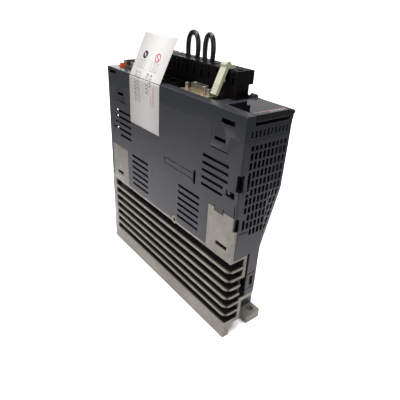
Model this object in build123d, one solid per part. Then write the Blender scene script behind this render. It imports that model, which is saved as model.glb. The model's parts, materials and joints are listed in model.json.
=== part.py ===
from build123d import *
import math
import os

# Slim servo drive standing on its mounting face, all sizes in millimetres.
# +X is the drive's right side, +Y its top end, +Z points out of its front.
# The origin is the centre of the flat mounting face.

# ---- driving dimensions ---------------------------------------------------------------------------
WIDTH = 40.0
HEIGHT = 168.0
DEPTH = 170.0
WALL = 1.8
GAP = 0.2                  # seam between two fixed pieces
XR = WIDTH / 2             # right side face
YE = HEIGHT / 2            # top end face, the bottom end is at -YE

SEAM_Z = 154.8             # seam between case and front cover near the ends
SEAM_MID_Z = 158.0         # the same seam along the middle of the sides
MID_HALF = 55.0            # half length of that middle stretch
TONGUE_Y = (55.0, 71.0)    # snap tongues of the front cover, from the middle
TONGUE_Z = 144.6

# ---- heat sink ---------------------------------------------------------------------------
BASE_T = 6.5               # mounting base and flange tabs
TAB_Y = 73.5               # the tabs stick out beyond this
TAB_X1 = -4.7
HOLE_X = -14.0             # mounting holes, 6 mm in from the left side
HOLE_Y = 78.0              # and 156 mm apart
HOLE_R = 3.0
SINK_WALL = (4.0, 7.0)     # upright wall that carries the fins
SINK_TOP = 70.6
PLATE_T = 2.0
FOOT_TOP = 13.9
FOOT_X = 13.7
SLAB_Z = 10.3
FIN_Z0 = 21.1
FIN_PITCH = 7.88
FIN_COUNT = 6
FIN_T = 1.9
FIN_CORNER_R = 5.0
POST_Y = -77.3             # corner post at the bottom end
POST_TOP = 73.0
LUG_X0 = 17.5
LUG_TOP = 103.7
LUG_RIGHT = (57.0, 84.0)
LUG_LEFT = (-80.0, -53.5)
BOSS_X0 = 14.5             # threaded boss of the right side
BOSS_Y = 18.0
BOSS_Z = 71.0
BOSS_R = 3.4
BOSS_HOLE_R = 1.5
BOSS_HOLE_DEEP = 5.0
LATCH_SLOT_Z = (76.5, 79.7)
SHELF_X = (-6.8, 4.0)
SHELF_Z = (28.6, 32.0)

# ---- screw access recess at the left of both ends --------------------------------------
RECESS_X = -7.5
RECESS_TOP_Z = 118.0
RECESS_LOW_Z = 59.0

# ---- vents ---------------------------------------------------------------------------
SIDE_SLOT_H = 2.2
SIDE_PITCH = 5.2
UPPER_ROWS_Z = 136.0
LOWER_ROWS_Z = 102.7
LOWER_ROWS = 6
RIGHT_UPPER_ENDS = (73.5, 73.5, 73.5, 69.6, 69.6)
RIGHT_LOWER_ENDS = (-73.0, -73.0, -73.0, -76.5, -65.4)
LEFT_UPPER_ENDS = (65.4,) * 5
LEFT_LOWER_ENDS = (-65.4,) * 5
GRID_PITCH_X = 3.55
GRID_X0 = -15.95
GRID_COLUMNS = 9
GRID_PITCH_Z = 6.1
GRID_SLOT_W = 2.25
GRID_SLOT_H = 4.9
GRID_TOP_Z = 147.4

GRID_LAST_COLUMN = ((122.0, 134.8), (117.5, 120.1), (112.0, 116.9), (106.0, 110.8), (93.6, 101.1))
ROW_SLOTS = [14.4 - i * 3.32 for i in range(10)]     # row of slots at both ends of the cover

# ---- lid ---------------------------------------------------------------------------
LID_Y = (57.9, 83.9)
LID_X1 = 12.0
LID_T = 1.7
HINGE_X = -18.4
HINGE_Z = 168.5
PIN_R = 0.8
PIN_FIT = 0.06
KNUCKLE_R = 1.5
FACE_Z = 168.1             # front face under the lid
EAR_Y = (48.8, 53.2)       # hinge ear beside the opening
EAR_X1 = -16.4
EAR_AXIS_Z = 170.2
EAR_R = 1.8
NEAR_PIN_END = 62.0
FAR_PIN_START = 75.0
PIN_HEAD_R = 1.1

# ---- front panel under the lid, each opening as x0, x1, y0, y1 ----------------------------
DISPLAY = (-14.0, 3.0, 68.6, 79.2)
DIGIT_PITCH = 5.2
DIGIT_COUNT = 3
SEGMENT_BARS = (70.4, 73.9, 77.4)
ROTARY = (-12.2, -5.2, 60.0, 67.0)
ROTARY_R = 2.5
DIP = (-1.4, 8.8, 60.6, 66.6)
DIP_COUNT = 4
DIP_PITCH = 2.3
DIP_SLOT = (61.9, 65.3)
DIP_TRAVEL = 1.6
LAMP_X = 8.0
LAMP_Y = 73.0
LAMP_R = 1.5

# ---- deck and connectors ---------------------------------------------------------------------------
DECK_Z = (164.4, 165.8)
DECK_END_Y = 57.0
OPENING_X1 = 12.2          # inner edge of the rim
OPENING_Y = (-80.5, 48.2)
OPENING_STEP = (1.5, 53.6)  # left of this x it reaches further up
CONTROL_BOARD_X = (12.6, 14.2)
POWER_BOARD_X = (-16.6, -15.0)
POWER_BOARD_TOP = 149.8
CONTROL_BOSSES = [(-62.0, 108.0), (62.0, 108.0), (-40.0, 146.0), (34.0, 146.0)]
STANDOFFS = [(-62.0, 18.0), (-62.0, 62.0), (62.0, 18.0), (62.0, 62.0)]
BOARD_HOLE_R = 1.5

# ---- power parts, each place as y0, y1, z0, z1 unless noted --------------------------------
MODULE = (-42.0, 12.0, 24.0, 58.0)
MODULE_T = 7.5
MODULE_PINS = 9
BRIDGE = (14.5, 51.5, 28.0, 58.0)
BRIDGE_T = 6.0
BRIDGE_PINS = 4
MODULE_SCREWS = [(-38.0, 41.0), (8.0, 41.0), (18.0, 43.0), (48.0, 43.0)]
CAN_R = 11.0
CAN_END_X = 10.0
CAN_Y = (-30.0, -6.0, 18.0)
CAN_Z = 88.0
RELAY = (36.0, 56.0, 78.0, 94.0)
RELAY_X1 = -1.0
CORE = (30.0, 50.0, 104.0, 122.0)
WINDING = (33.0, 47.0, 107.5, 118.5)
SENSORS_Y = (-60.0, -50.0)
LINK = (-36.0, -6.0, 118.0, 124.0)
# centre y, centre z, width, height of each chip on the control board
CHIPS = [
    (10.0, 100.0, 17.0, 17.0), (40.0, 118.0, 14.0, 14.0),
    (-56.0, 90.0, 8.0, 6.0), (-24.0, 138.0, 10.0, 6.0)]
CHIP_T = 1.4
EARTH_X = -1.4
EARTH_Z = 17.0
EARTH_R = 2.0

# ---- connectors of the right-hand column, each footprint as x0, x1, y0, y1 ------------------
SIGNAL = (-3.4, 2.1, 7.2, 23.4)
SIGNAL_TOP = 172.4
SIGNAL_CONTACTS = 10
POSTS_Y = (1.2, 25.6)      # jack posts each side of the signal connector
POST_X = -0.6
POST_R = 1.9
POST_TOP_Z = 171.2
GROUND_Y = (-2.0, 30.0)    # sheet metal plate of the signal connector
GROUND_Z = (166.0, 167.0)
NETWORK = (-2.6, 10.4, -27.0, -4.6)
USB = (0.0, 9.6, -40.0, -31.0)
ENCODER = (-2.0, 9.4, -75.0, -58.0)
ENCODER_TOP = 175.4
SAFETY = (3.0, 11.6, -80.2, -75.6)
BOARD_SIDE_X = CONTROL_BOARD_X[0]

# ---- plug-in power terminals -----------------------------------------------------------------
PLUG_NEAR_X = -5.0
PLUG_FAR_X = -16.3
PLUG_BEAK_Z = 177.0        # above this the plug reaches out to the left side face
PLUG_TOP = 186.0
PLUG_SEAT_Z = 170.0
INSERT_Z0 = 153.0
INSERT_X = (-15.0, -6.3)
HEADER_WALL = 1.0
HEADER_Z = (146.0, 169.8)
WIRE_X = -14.5
PIN_X = -10.4
POLE_WIDE = 8.2
POLE_NARROW = 5.5
# name: (lowest pole, pole pitch, number of poles, lower end, upper end)
PLUGS = {
    "line_power": (2.4, POLE_WIDE, 6, -1.6, 47.4),
    "control_power": (-28.3, POLE_NARROW, 5, -33.0, -2.0),
    "motor_power": (-57.0, POLE_WIDE, 3, -61.5, -36.0),
}

# ---- jumper wires ---------------------------------------------------------------------------
WIRE_D = 3.5
WIRE_FOOT_Z = 180.0
WIRE_HOLE_R = 1.95
LONG_LOOP_TOP = 202.6
SHORT_LOOP_TOP = 202.8

# ---- opening lever ---------------------------------------------------------------------------
LEVER_POLE = 4             # it opens this pole of the line power plug
LEVER_Y = (33.4, 38.9)
LEVER_T = 2.4
LEVER_L = 19.5
LEVER_TILT = 25.0
LEVER_PIVOT = (-5.2, 187.3)
LEVER_PIVOT_R = 0.9
LEVER_CROWN_R = 2.3
LEVER_ARM_T = 2.3
LEVER_RIBS = 4
LEVER_PEG_Z = (-9.0, -7.4)

# ---- paper tag ---------------------------------------------------------------------------
TAG_Y = (-46.0, -4.0)
TAG_T = 0.3
TAG_LOW_Z = 132.0
TAG_FOLD_Z = 171.4
TAG_TOP_Z = 200.0
TAG_LEAN = 0.486           # how far it leans back for each millimetre of height

# ---- rating label ---------------------------------------------------------------------------
LABEL_Y = (-18.0, 18.0)
LABEL_Z = (92.0, 150.0)
LABEL_T = 0.12


# ---- helpers ---------------------------------------------------------------------------
def block(x0, x1, y0, y1, z0, z1):
    """Box between two corners."""
    box = Box(x1 - x0, y1 - y0, z1 - z0)
    return Pos((x0 + x1) / 2, (y0 + y1) / 2, (z0 + z1) / 2) * box


def rounded_block(x0, x1, y0, y1, z0, z1, radius, axis=Axis.Z):
    """Box whose four edges along one axis are rounded."""
    box = Box(x1 - x0, y1 - y0, z1 - z0)
    box = fillet(box.edges().filter_by(axis), radius)
    return Pos((x0 + x1) / 2, (y0 + y1) / 2, (z0 + z1) / 2) * box


def rod_x(x0, x1, y, z, radius):
    return Pos((x0 + x1) / 2, y, z) * Rot(0, 90, 0) * Cylinder(radius, x1 - x0)


def rod_y(y0, y1, x, z, radius):
    return Pos(x, (y0 + y1) / 2, z) * Rot(90, 0, 0) * Cylinder(radius, y1 - y0)


def rod_z(z0, z1, x, y, radius):
    return Pos(x, y, (z0 + z1) / 2) * Cylinder(radius, z1 - z0)


def slot_x(x0, x1, y0, y1, z, height):
    """Through slot with round ends, cut along X and long in Y."""
    half = height / 2
    straight = block(x0, x1, y0 + half, y1 - half, z - half, z + half)
    return straight + rod_x(x0, x1, y0 + half, z, half) + rod_x(x0, x1, y1 - half, z, half)


def prism_yz(points, x0, x1):
    """Solid with a polygon outline in the YZ plane."""
    face = make_face(Polyline([(x0, y, z) for y, z in points], close=True))
    return extrude(face, amount=x1 - x0, dir=(1, 0, 0))


def prism_xz(points, y0, y1):
    """Solid with a polygon outline in the XZ plane."""
    face = make_face(Polyline([(x, y0, z) for x, z in points], close=True))
    return extrude(face, amount=y1 - y0, dir=(0, 1, 0))


def slot_z(x0, x1, y0, y1, z0, z1):
    """Through slot with round ends, cut along X and tall in Z."""
    half = (y1 - y0) / 2
    y = (y0 + y1) / 2
    straight = block(x0, x1, y0, y1, z0 + half, z1 - half)
    return straight + rod_x(x0, x1, y, z0 + half, half) + rod_x(x0, x1, y, z1 - half, half)


def prism_xy(points, z0, z1):
    """Solid with a polygon outline in the XY plane."""
    face = make_face(Polyline([(x, y, z0) for x, y in points], close=True))
    return extrude(face, amount=z1 - z0, dir=(0, 0, 1))


def group(solids):
    """Several separate solids as one node."""
    return Compound(children=list(solids))


def flip_y(shape):
    return shape.mirror(Plane.XZ)


# ---- heat sink ---------------------------------------------------------------------------
def fin(z):
    """One fin, rounded at its two outer corners."""
    x0 = SINK_WALL[1] - 0.5
    plate = Box(XR - x0, HEIGHT, FIN_T)
    corners = plate.edges().filter_by(Axis.Z).sort_by(Axis.X)[-2:]
    plate = fillet(corners, FIN_CORNER_R)
    return Pos((XR + x0) / 2, 0, z) * plate


def flange_tab():
    """Mounting tab at the top end, with its round hole."""
    tab = block(-XR, TAB_X1, TAB_Y - 0.5, YE, 0, BASE_T)
    outer = tab.edges().filter_by(Axis.Z).sort_by(Axis.Y)[-2:]
    tab = fillet(outer, 1.5)
    return tab - rod_z(-1, BASE_T + 1, HOLE_X, HOLE_Y, HOLE_R)


def slotted_tab():
    """Mounting tab at the bottom end, with its open slot."""
    tab = block(-XR, TAB_X1, -YE, -TAB_Y + 0.5, 0, BASE_T)
    slot = rod_z(-1, BASE_T + 1, HOLE_X, -HOLE_Y, HOLE_R)
    mouth = block(HOLE_X - HOLE_R, HOLE_X + HOLE_R, -YE - 1, -HOLE_Y, -1, BASE_T + 1)
    return tab - slot - mouth


def side_lug(span, slot_span):
    """Upright lug that the case snaps onto, with its latch slot."""
    lug = block(LUG_X0, XR, span[0], span[1], SINK_TOP - PLATE_T, LUG_TOP)
    upper = lug.edges().filter_by(Axis.X).sort_by(Axis.Z)[-2:]
    lug = fillet(upper, 0.6)
    return lug - block(LUG_X0 - 1, XR + 1, slot_span[0], slot_span[1], LATCH_SLOT_Z[0], LATCH_SLOT_Z[1])


def heat_sink():
    x0, x1 = SINK_WALL
    foot = block(FOOT_X, XR, -YE, YE, 0, FOOT_TOP)
    foot = fillet(foot.edges().filter_by(Axis.Y).sort_by(Axis.Z)[:2], 0.8)
    slab = block(x0, XR - 1, -YE, YE, SLAB_Z, FOOT_TOP)
    base = block(-XR, XR - 1, -TAB_Y, TAB_Y, 0, BASE_T)
    wall = block(x0, x1, -YE, YE, SLAB_Z, SINK_TOP)
    low_wall = block(x0, x1, -TAB_Y, TAB_Y, BASE_T - 1, SLAB_Z + 1)
    top_plate = block(x0, XR, -YE, YE, SINK_TOP - PLATE_T, SINK_TOP)
    post = block(14.0, XR, -YE, POST_Y, FOOT_TOP - 1, POST_TOP)
    sink = foot + slab + base + wall + low_wall + top_plate + post
    for i in range(FIN_COUNT):
        sink += fin(FIN_Z0 + i * FIN_PITCH)
    sink += flange_tab() + slotted_tab()
    sink += side_lug(LUG_RIGHT, (67.0, 78.4)) + side_lug(LUG_LEFT, (-73.0, -63.0))
    sink += rod_x(BOSS_X0, XR, BOSS_Y, BOSS_Z, BOSS_R)
    shelf = block(SHELF_X[0], SHELF_X[1], TAB_Y - 2.0, YE, SHELF_Z[0], SHELF_Z[1])
    web = block(SHELF_X[0], SHELF_X[1], TAB_Y - 2.0, TAB_Y, BASE_T - 1, SHELF_Z[1])
    sink += shelf + web + flip_y(shelf) + flip_y(web)
    # the wall end is set back under the top fins, the lug corner is notched
    sink -= block(x0 - 1, x1, 80.5, YE + 1, SHELF_Z[1], 51.0)
    sink -= block(LUG_X0 - 1, XR + 1, 82.0, YE + 1, 94.0, LUG_TOP + 1)
    # room for the snap tongue of the case in the top of the right lug
    sink -= block(LUG_X0 - 1, XR + 1, 62.8, 72.2, 101.3, LUG_TOP + 1)
    # slits between the post and the fin pack, as deep as the post
    for i in range(FIN_COUNT + 1):
        z = FIN_Z0 + (i - 0.5) * FIN_PITCH
        sink -= block(13.0, XR + 1, POST_Y, POST_Y + 2.4, z - 2.6, z + 2.6)
    # blind screw hole of the boss, screw holes of the power parts and the earth screw
    sink -= rod_x(XR - BOSS_HOLE_DEEP, XR + 1, BOSS_Y, BOSS_Z, BOSS_HOLE_R)
    sink -= rod_y(-TAB_Y - 1, -TAB_Y + 3, EARTH_X, EARTH_Z, EARTH_R + 0.05)
    for y, z in MODULE_SCREWS:
        sink -= rod_x(x0 - 1, x1 - 0.6, y, z, 1.5)
    return sink


# ---- main case ---------------------------------------------------------------------------
def recess_wedge(offset, x_edge):
    """Space taken away at the top end so that a screwdriver reaches the mounting screw."""
    low = TAB_Y - offset
    high = YE - offset
    outline = [
        (high, RECESS_TOP_Z), (low, RECESS_LOW_Z), (low, -1), (YE + 5, -1), (YE + 5, RECESS_TOP_Z)]
    return prism_yz(outline, -XR - 1, x_edge)


def case_body(offset):
    """Outline of the case, drawn in by offset for its inside."""
    x_in = XR - offset
    y_in = YE - offset
    low_z = BASE_T + GAP - (0 if offset == 0 else 10)
    upper_z = SINK_TOP + GAP - (0 if offset == 0 else 10)
    upper = block(-x_in, x_in, -y_in, y_in, upper_z, SEAM_MID_Z - GAP + offset * 2)
    lower = block(-x_in, 2.0 + offset * 2, -y_in, y_in, low_z, SINK_TOP + 2)
    body = upper + lower
    shelf_top = SHELF_Z[1] + GAP + offset
    under_shelf = block(RECESS_X - 1, SINK_WALL[0] + 2, TAB_Y - offset, YE + 1, -1, shelf_top)
    for cut in (recess_wedge(offset, RECESS_X + offset), under_shelf):
        body -= cut
        body -= flip_y(cut)
    return body


def side_vents(x0, x1, upper_ends, lower_ends):
    """Slots of one side wall; the outer rows end at the given places."""
    cutters = []
    for row, (upper_end, lower_end) in enumerate(zip(upper_ends, lower_ends)):
        z = UPPER_ROWS_Z - row * SIDE_PITCH
        cutters.append(slot_x(x0, x1, 47.5, upper_end, z, SIDE_SLOT_H))
        cutters.append(slot_x(x0, x1, lower_end, -46.0, z, SIDE_SLOT_H))
    for row in range(LOWER_ROWS):
        z = LOWER_ROWS_Z - row * SIDE_PITCH
        cutters.append(slot_x(x0, x1, 21.5, 47.3, z, SIDE_SLOT_H))
        cutters.append(slot_x(x0, x1, -46.0, -20.0, z, SIDE_SLOT_H))
    return cutters


def grid_slot(column, z0, z1):
    """One upright slot of the end grid, cut along Y."""
    x = GRID_X0 + column * GRID_PITCH_X
    half = GRID_SLOT_W / 2
    inner = 68.0 if x < RECESS_X else 80.0
    return block(x - half, x + half, inner, YE + 1, z0, z1)


def end_vents():
    """Slots of the top end grid: a short first row, then full rows, then the sloped part."""
    cutters = []
    for column in range(GRID_COLUMNS):
        cutters.append(grid_slot(column, 148.4, 151.8))
    last = GRID_COLUMNS - 1
    for row in range(13):
        top = GRID_TOP_Z - row * GRID_PITCH_Z
        for column in range(GRID_COLUMNS):
            on_slope = column < 3
            if column == last and row > 1:
                continue
            if row > 9 and not on_slope:
                continue
            if row == 9 and column > 6:
                continue
            if row == 12 and column > 1:
                continue
            cutters.append(grid_slot(column, top - GRID_SLOT_H, top))
    for z0, z1 in GRID_LAST_COLUMN:
        cutters.append(grid_slot(last, z0, z1))
    return cutters


def side_details(x0, x1):
    """Groove outline, thick slot, snap slits and the E shaped notch of the right side."""
    shallow = x1 - 1.6
    cuts = []
    for y0, y1 in ((3.0, 21.0), (23.0, 39.0)):
        cuts.append(block(shallow, x1, y0, y1, 118.4, 119.0))
        cuts.append(block(shallow, x1, y0, y1, 114.0, 114.6))
    cuts.append(block(shallow, x1, 3.0, 3.6, 114.0, 119.0))
    cuts.append(slot_z(x0, x1, 39.0, 41.6, 111.0, 121.6))
    for y in (63.0, 72.0):
        cuts.append(block(x0, x1, y - 0.35, y + 0.35, 101.0, 105.6))
    cuts.append(block(x0, x1, 81.8, 82.5, 102.0, 113.0))
    notch = block(x0, x1, 72.6, 80.4, 116.5, 121.0)
    cuts.append(notch - block(x0, x1, 74.0, 76.4, 118.4, 122.0))
    return cuts


def foot_cover_space(gap):
    """Room below the end grid that a foot cover fills, less a seam."""
    inner_y = TAB_Y - WALL - GAP
    return block(-XR - 1, SHELF_X[1], inner_y + gap, YE + 1, 0, SINK_TOP - gap)


def whole_case():
    """The case with its two foot covers still in one piece."""
    outer = case_body(0)
    edges = outer.edges().filter_by(Axis.Z).filter_by(lambda e: abs(e.center().X) > XR - 0.1)
    outer = fillet(edges.filter_by(lambda e: abs(e.center().Y) > YE - 0.1), 0.8)
    case = outer - case_body(WALL)
    wide = XR + 1
    ends_top = SEAM_Z - GAP
    for sign in (-1, 1):
        y0, y1 = sorted((sign * MID_HALF, sign * (YE + 1)))
        case -= block(-wide, wide, y0, y1, ends_top, DEPTH)
        y0, y1 = sorted((sign * (TONGUE_Y[0] - GAP), sign * (TONGUE_Y[1] + GAP)))
        case -= block(-wide, wide, y0, y1, TONGUE_Z - 0.9, DEPTH)
    # the lugs and the boss of the heat sink come through the right wall
    inside = LUG_X0 - GAP
    case -= block(inside, wide, LUG_RIGHT[0] - GAP, 63.0, 60, LUG_TOP + GAP)
    case -= block(inside, wide, 72.0, YE + 1, 60, LUG_TOP + GAP)
    case -= block(inside, wide, 62.9, 72.1, 60, 101.5)
    case -= block(inside, wide, LUG_LEFT[0] - GAP, LUG_LEFT[1] + GAP, 60, LUG_TOP + GAP)
    case -= block(13.8, wide, -YE - 1, POST_Y + GAP, 60, POST_TOP + GAP)
    # and its end shelves close the left chamber below
    shelf = block(SHELF_X[0] - GAP, SHELF_X[1] + 1, TAB_Y - 2.0 - GAP, YE + 1, -1, SHELF_Z[1] + GAP)
    case -= shelf
    case -= flip_y(shelf)
    case -= rod_x(inside, wide, BOSS_Y, BOSS_Z, BOSS_R + 0.3)
    # notches in the upright edge beside the top end
    case -= block(16.4, wide, 81.0, YE + 1, 122.5, 134.0)
    case -= block(16.4, wide, 81.0, YE + 1, 94.0, 103.0)
    case -= block(8.0, 16.0, 83.3, YE + 1, 91.0, 91.7)
    # latch window and panel lines of the narrow strip at the top end
    case -= block(-4.6, -1.6, 80.0, YE + 1, 40.5, 49.0)
    for z in (38.0, 52.0):
        case -= block(-7.4, 2.1, 83.4, YE + 1, z - 0.3, z + 0.3)
    case -= side_vents(XR - 3, wide, RIGHT_UPPER_ENDS, RIGHT_LOWER_ENDS)
    case -= side_vents(-wide, -XR + 3, LEFT_UPPER_ENDS, LEFT_LOWER_ENDS)
    case -= side_details(XR - 3, wide)
    grid = end_vents()
    case -= grid
    case -= [flip_y(cut) for cut in grid]
    for y, z in CONTROL_BOSSES:
        case += rod_x(CONTROL_BOARD_X[1], XR - WALL + 0.2, y, z, 2.6)
        case -= rod_x(CONTROL_BOARD_X[1] - 1, XR - 0.8, y, z, 1.1)
    return case


def main_case(whole):
    return whole - foot_cover_space(0) - flip_y(foot_cover_space(0))


def top_foot_cover(whole):
    """Walls of the screw recess and the narrow strip beside it, below the top end grid."""
    return whole & foot_cover_space(GAP)


def bottom_foot_cover(whole):
    return whole & flip_y(foot_cover_space(GAP))


# ---- front cover ---------------------------------------------------------------------------
def front_cover():
    z_in = DEPTH - WALL
    outer = block(-XR, XR, -YE, YE, SEAM_Z, DEPTH)
    outer = fillet(outer.edges().filter_by(Axis.Z), 0.8)
    outer = fillet(outer.faces().sort_by(Axis.Z)[-1].edges(), 0.7)
    cover = outer - block(-XR + WALL, XR - WALL, -YE + WALL, YE - WALL, SEAM_Z - 1, z_in)
    for x0, x1 in ((-XR, -XR + WALL), (XR - WALL, XR)):
        for sign in (-1, 1):
            y0, y1 = sorted((sign * TONGUE_Y[0], sign * TONGUE_Y[1]))
            tongue = block(x0, x1, y0, y1, TONGUE_Z, SEAM_Z + 0.5)
            y0, y1 = sorted((sign * 58.0, sign * 68.0))
            cover += tongue - block(x0 - 1, x1 + 1, y0, y1, 149.5, 152.0)
    # the middle of both side walls stops higher, where the case stands up
    cover -= block(-XR - 1, XR + 1, -MID_HALF - GAP, MID_HALF + GAP, SEAM_Z - 1, SEAM_MID_Z)
    # thick edge under the lid, then its recess and the gap below its flange
    cover += block(-XR + 1, XR - 1, 79.8, YE - 1, 161.8, DEPTH - 1)
    cover += block(-XR + 1, OPENING_X1 + 2, LID_Y[0] - 0.3, YE - 1, FACE_Z - 2.2, FACE_Z + 0.5)
    cover += block(-XR + 1, XR - 1, OPENING_Y[1], LID_Y[0], FACE_Z - 2.2, DEPTH - 0.8)
    cover -= block(-XR - 1, LID_X1 + 0.3, LID_Y[0] - 0.3, YE + 1, FACE_Z, DEPTH + 1)
    cover -= block(-17.9, 12.8, 82.0, YE + 1, 163.7, DEPTH + 1)
    cover -= block(-16.5, 11.5, 79.2, YE, 163.7, 165.6)
    # connector opening
    cover -= block(-XR + WALL, OPENING_X1, OPENING_Y[0], OPENING_Y[1], SEAM_Z, DEPTH + 1)
    cover -= block(-XR + WALL, OPENING_STEP[0], OPENING_Y[0], OPENING_STEP[1], SEAM_Z, DEPTH + 1)
    # hinge: an ear each side of the lid and room for its knuckle
    ear = block(-XR, EAR_X1, EAR_Y[0], EAR_Y[1], 166.0, EAR_AXIS_Z)
    ear += rod_y(EAR_Y[0], EAR_Y[1], HINGE_X + 0.2, EAR_AXIS_Z, EAR_R)
    corner = block(-XR, EAR_X1, 79.4, YE, 164.0, FACE_Z + 0.3) + rod_y(79.4, YE, HINGE_X, HINGE_Z, 1.4)
    cover += ear + corner
    cover -= block(-XR - 1, EAR_X1, LID_Y[0] - 0.3, 79.4, 166.6, DEPTH + 1)
    cover -= rod_y(EAR_Y[0], YE + 1, HINGE_X, HINGE_Z, PIN_R)
    # windows, display and switch openings
    cover -= block(XR - 3, XR + 1, 63.0, 74.6, 161.5, 164.7)
    cover -= block(XR - 3, XR + 1, -80.8, -69.2, 165.0, 168.0)
    cover -= block(DISPLAY[0], DISPLAY[1], DISPLAY[2], DISPLAY[3], 160, 169)
    cover -= block(ROTARY[0], ROTARY[1], ROTARY[2], ROTARY[3], 160, 169)
    cover -= block(DIP[0], DIP[1], DIP[2], DIP[3], 160, 169)
    cover -= rod_z(160, 169, LAMP_X, LAMP_Y, LAMP_R)
    row = [block(x - 0.7, x + 0.7, 80.0, YE + 1, 156.6, 161.0) for x in ROW_SLOTS]
    cover -= row
    cover -= [flip_y(cut) for cut in row]
    return cover


def display_lid():
    """Smoked lid: plate, down-turned flange at the top end and hinge knuckle."""
    top = FACE_Z + 0.2 + LID_T
    plate = block(HINGE_X, LID_X1, LID_Y[0], LID_Y[1], FACE_Z + 0.2, top)
    knuckle = rod_y(LID_Y[0], 79.1, HINGE_X, HINGE_Z, KNUCKLE_R)
    plate -= block(HINGE_X - 1, -16.2, 79.1, YE, FACE_Z - 1, DEPTH + 1)
    flange = block(-16.2, LID_X1 - 0.2, 82.3, LID_Y[1], 165.9, top)
    lid = plate + flange + knuckle
    tip = lid.edges().filter_by(Axis.Z).filter_by(lambda e: e.center().X > LID_X1 - 0.5)
    lid = fillet(tip.sort_by(Axis.Y)[:1], 0.8)
    bore = PIN_R + PIN_FIT
    near = rod_y(LID_Y[0] - 1, NEAR_PIN_END + 0.4, HINGE_X, HINGE_Z, bore)
    return lid - near - rod_y(FAR_PIN_START - 0.4, YE, HINGE_X, HINGE_Z, bore)


def lid_hinge_pins():
    near = rod_y(EAR_Y[0], NEAR_PIN_END, HINGE_X, HINGE_Z, PIN_R)
    far = rod_y(FAR_PIN_START, YE, HINGE_X, HINGE_Z, PIN_R)
    head = rod_y(YE, YE + 1.5, HINGE_X, HINGE_Z, PIN_HEAD_R)
    head = fillet(head.edges().sort_by(Axis.Y)[-1:], 0.5)
    return group([near, far + head])


def seven_segment_display():
    x0, x1, y0, y1 = DISPLAY
    body = block(x0 + 0.2, x1 - 0.2, y0 + 0.2, y1 - 0.2, 160.0, 167.6)
    for i in range(DIGIT_COUNT):
        x = x0 + 2.6 + i * DIGIT_PITCH
        for bar in SEGMENT_BARS:
            body -= block(x, x + 3.0, bar - 0.3, bar + 0.3, 167.3, 168)
        for y in (70.9, 74.4):
            for side in (x - 0.5, x + 3.1):
                body -= block(side, side + 0.5, y, y + 2.6, 167.3, 168)
    return body


def rotary_switch_body():
    x0, x1, y0, y1 = ROTARY
    x = (x0 + x1) / 2
    y = (y0 + y1) / 2
    body = block(x0 + 0.2, x1 - 0.2, y0 + 0.2, y1 - 0.2, 160.0, 167.4)
    return body - rod_z(165.0, 168.0, x, y, ROTARY_R)


def rotary_switch_rotor():
    """Arrow slotted dial that a small screwdriver turns."""
    x = (ROTARY[0] + ROTARY[1]) / 2
    y = (ROTARY[2] + ROTARY[3]) / 2
    dial = rod_z(165.1, 167.7, x, y, ROTARY_R - 0.06)
    dial -= block(x - 0.4, x + 0.4, y - 1.9, y + 1.9, 166.7, 168)
    arrow = prism_xy([(x - 1.1, y + 0.7), (x + 1.1, y + 0.7), (x, y + 1.9)], 166.7, 168)
    return dial - arrow


def dip_x(i):
    return (DIP[0] + DIP[1]) / 2 + (i - (DIP_COUNT - 1) / 2) * DIP_PITCH


def dip_switch_body():
    body = block(DIP[0] + 0.2, DIP[1] - 0.2, DIP[2] + 0.2, DIP[3] - 0.2, 160.0, 167.2)
    for i in range(DIP_COUNT):
        x = dip_x(i)
        body -= block(x - 0.65, x + 0.65, DIP_SLOT[0], DIP_SLOT[1], 165.6, 168)
    return body


def dip_slider(i):
    """One slider, at the lower end of its slot."""
    x = dip_x(i)
    low = DIP_SLOT[0] + 0.08
    high = DIP_SLOT[1] - 0.08 - DIP_TRAVEL
    return block(x - 0.55, x + 0.55, low, high, 165.7, 167.8)


def charge_lamp():
    stem = rod_z(160.0, 167.0, LAMP_X, LAMP_Y, LAMP_R - 0.1)
    dome = Pos(LAMP_X, LAMP_Y, 166.6) * Sphere(LAMP_R - 0.1)
    return stem + (dome & block(LAMP_X - 2, LAMP_X + 2, LAMP_Y - 2, LAMP_Y + 2, 166.0, 168.05))


# ---- boards and what they carry ---------------------------------------------------------------------------
def power_board():
    board = block(POWER_BOARD_X[0], POWER_BOARD_X[1], -70.0, 70.0, 12.0, POWER_BOARD_TOP)
    for y, z in STANDOFFS:
        board -= rod_x(POWER_BOARD_X[0] - 1, POWER_BOARD_X[1] + 1, y, z, BOARD_HOLE_R)
    return board


def control_board():
    board = block(CONTROL_BOARD_X[0], CONTROL_BOARD_X[1], -79.0, 79.0, 74.0, 163.6)
    for y, z in CONTROL_BOSSES:
        board -= rod_x(CONTROL_BOARD_X[0] - 1, CONTROL_BOARD_X[1] + 1, y, z, BOARD_HOLE_R)
    return board


def board_standoffs():
    """Round spacers between the heat sink wall and the power board."""
    spacers = []
    for y, z in STANDOFFS:
        spacer = rod_x(POWER_BOARD_X[1], SINK_WALL[0], y, z, 2.5)
        spacers.append(spacer - rod_x(POWER_BOARD_X[1] - 1, POWER_BOARD_X[1] + 8, y, z, 1.5))
    return group(spacers)


def screw_x(x_face, y, z, length, radius, inward):
    """Pan head screw along X, its head on x_face, its shank pointing inward (+1 or -1)."""
    x0, x1 = sorted((x_face, x_face + inward * length))
    shank = rod_x(x0, x1, y, z, radius)
    x0, x1 = sorted((x_face, x_face - inward * 1.3))
    head = rod_x(x0, x1, y, z, radius * 1.9)
    outer = head.edges().sort_by(Axis.X)
    head = fillet(outer[:1] if inward > 0 else outer[-1:], 0.5)
    x_out = x_face - inward * 1.3
    x0, x1 = sorted((x_out - inward, x_out + inward * 0.7))
    cross = block(x0, x1, y - 1.4, y + 1.4, z - 0.3, z + 0.3)
    cross += block(x0, x1, y - 0.3, y + 0.3, z - 1.4, z + 1.4)
    return shank + head - cross


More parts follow.
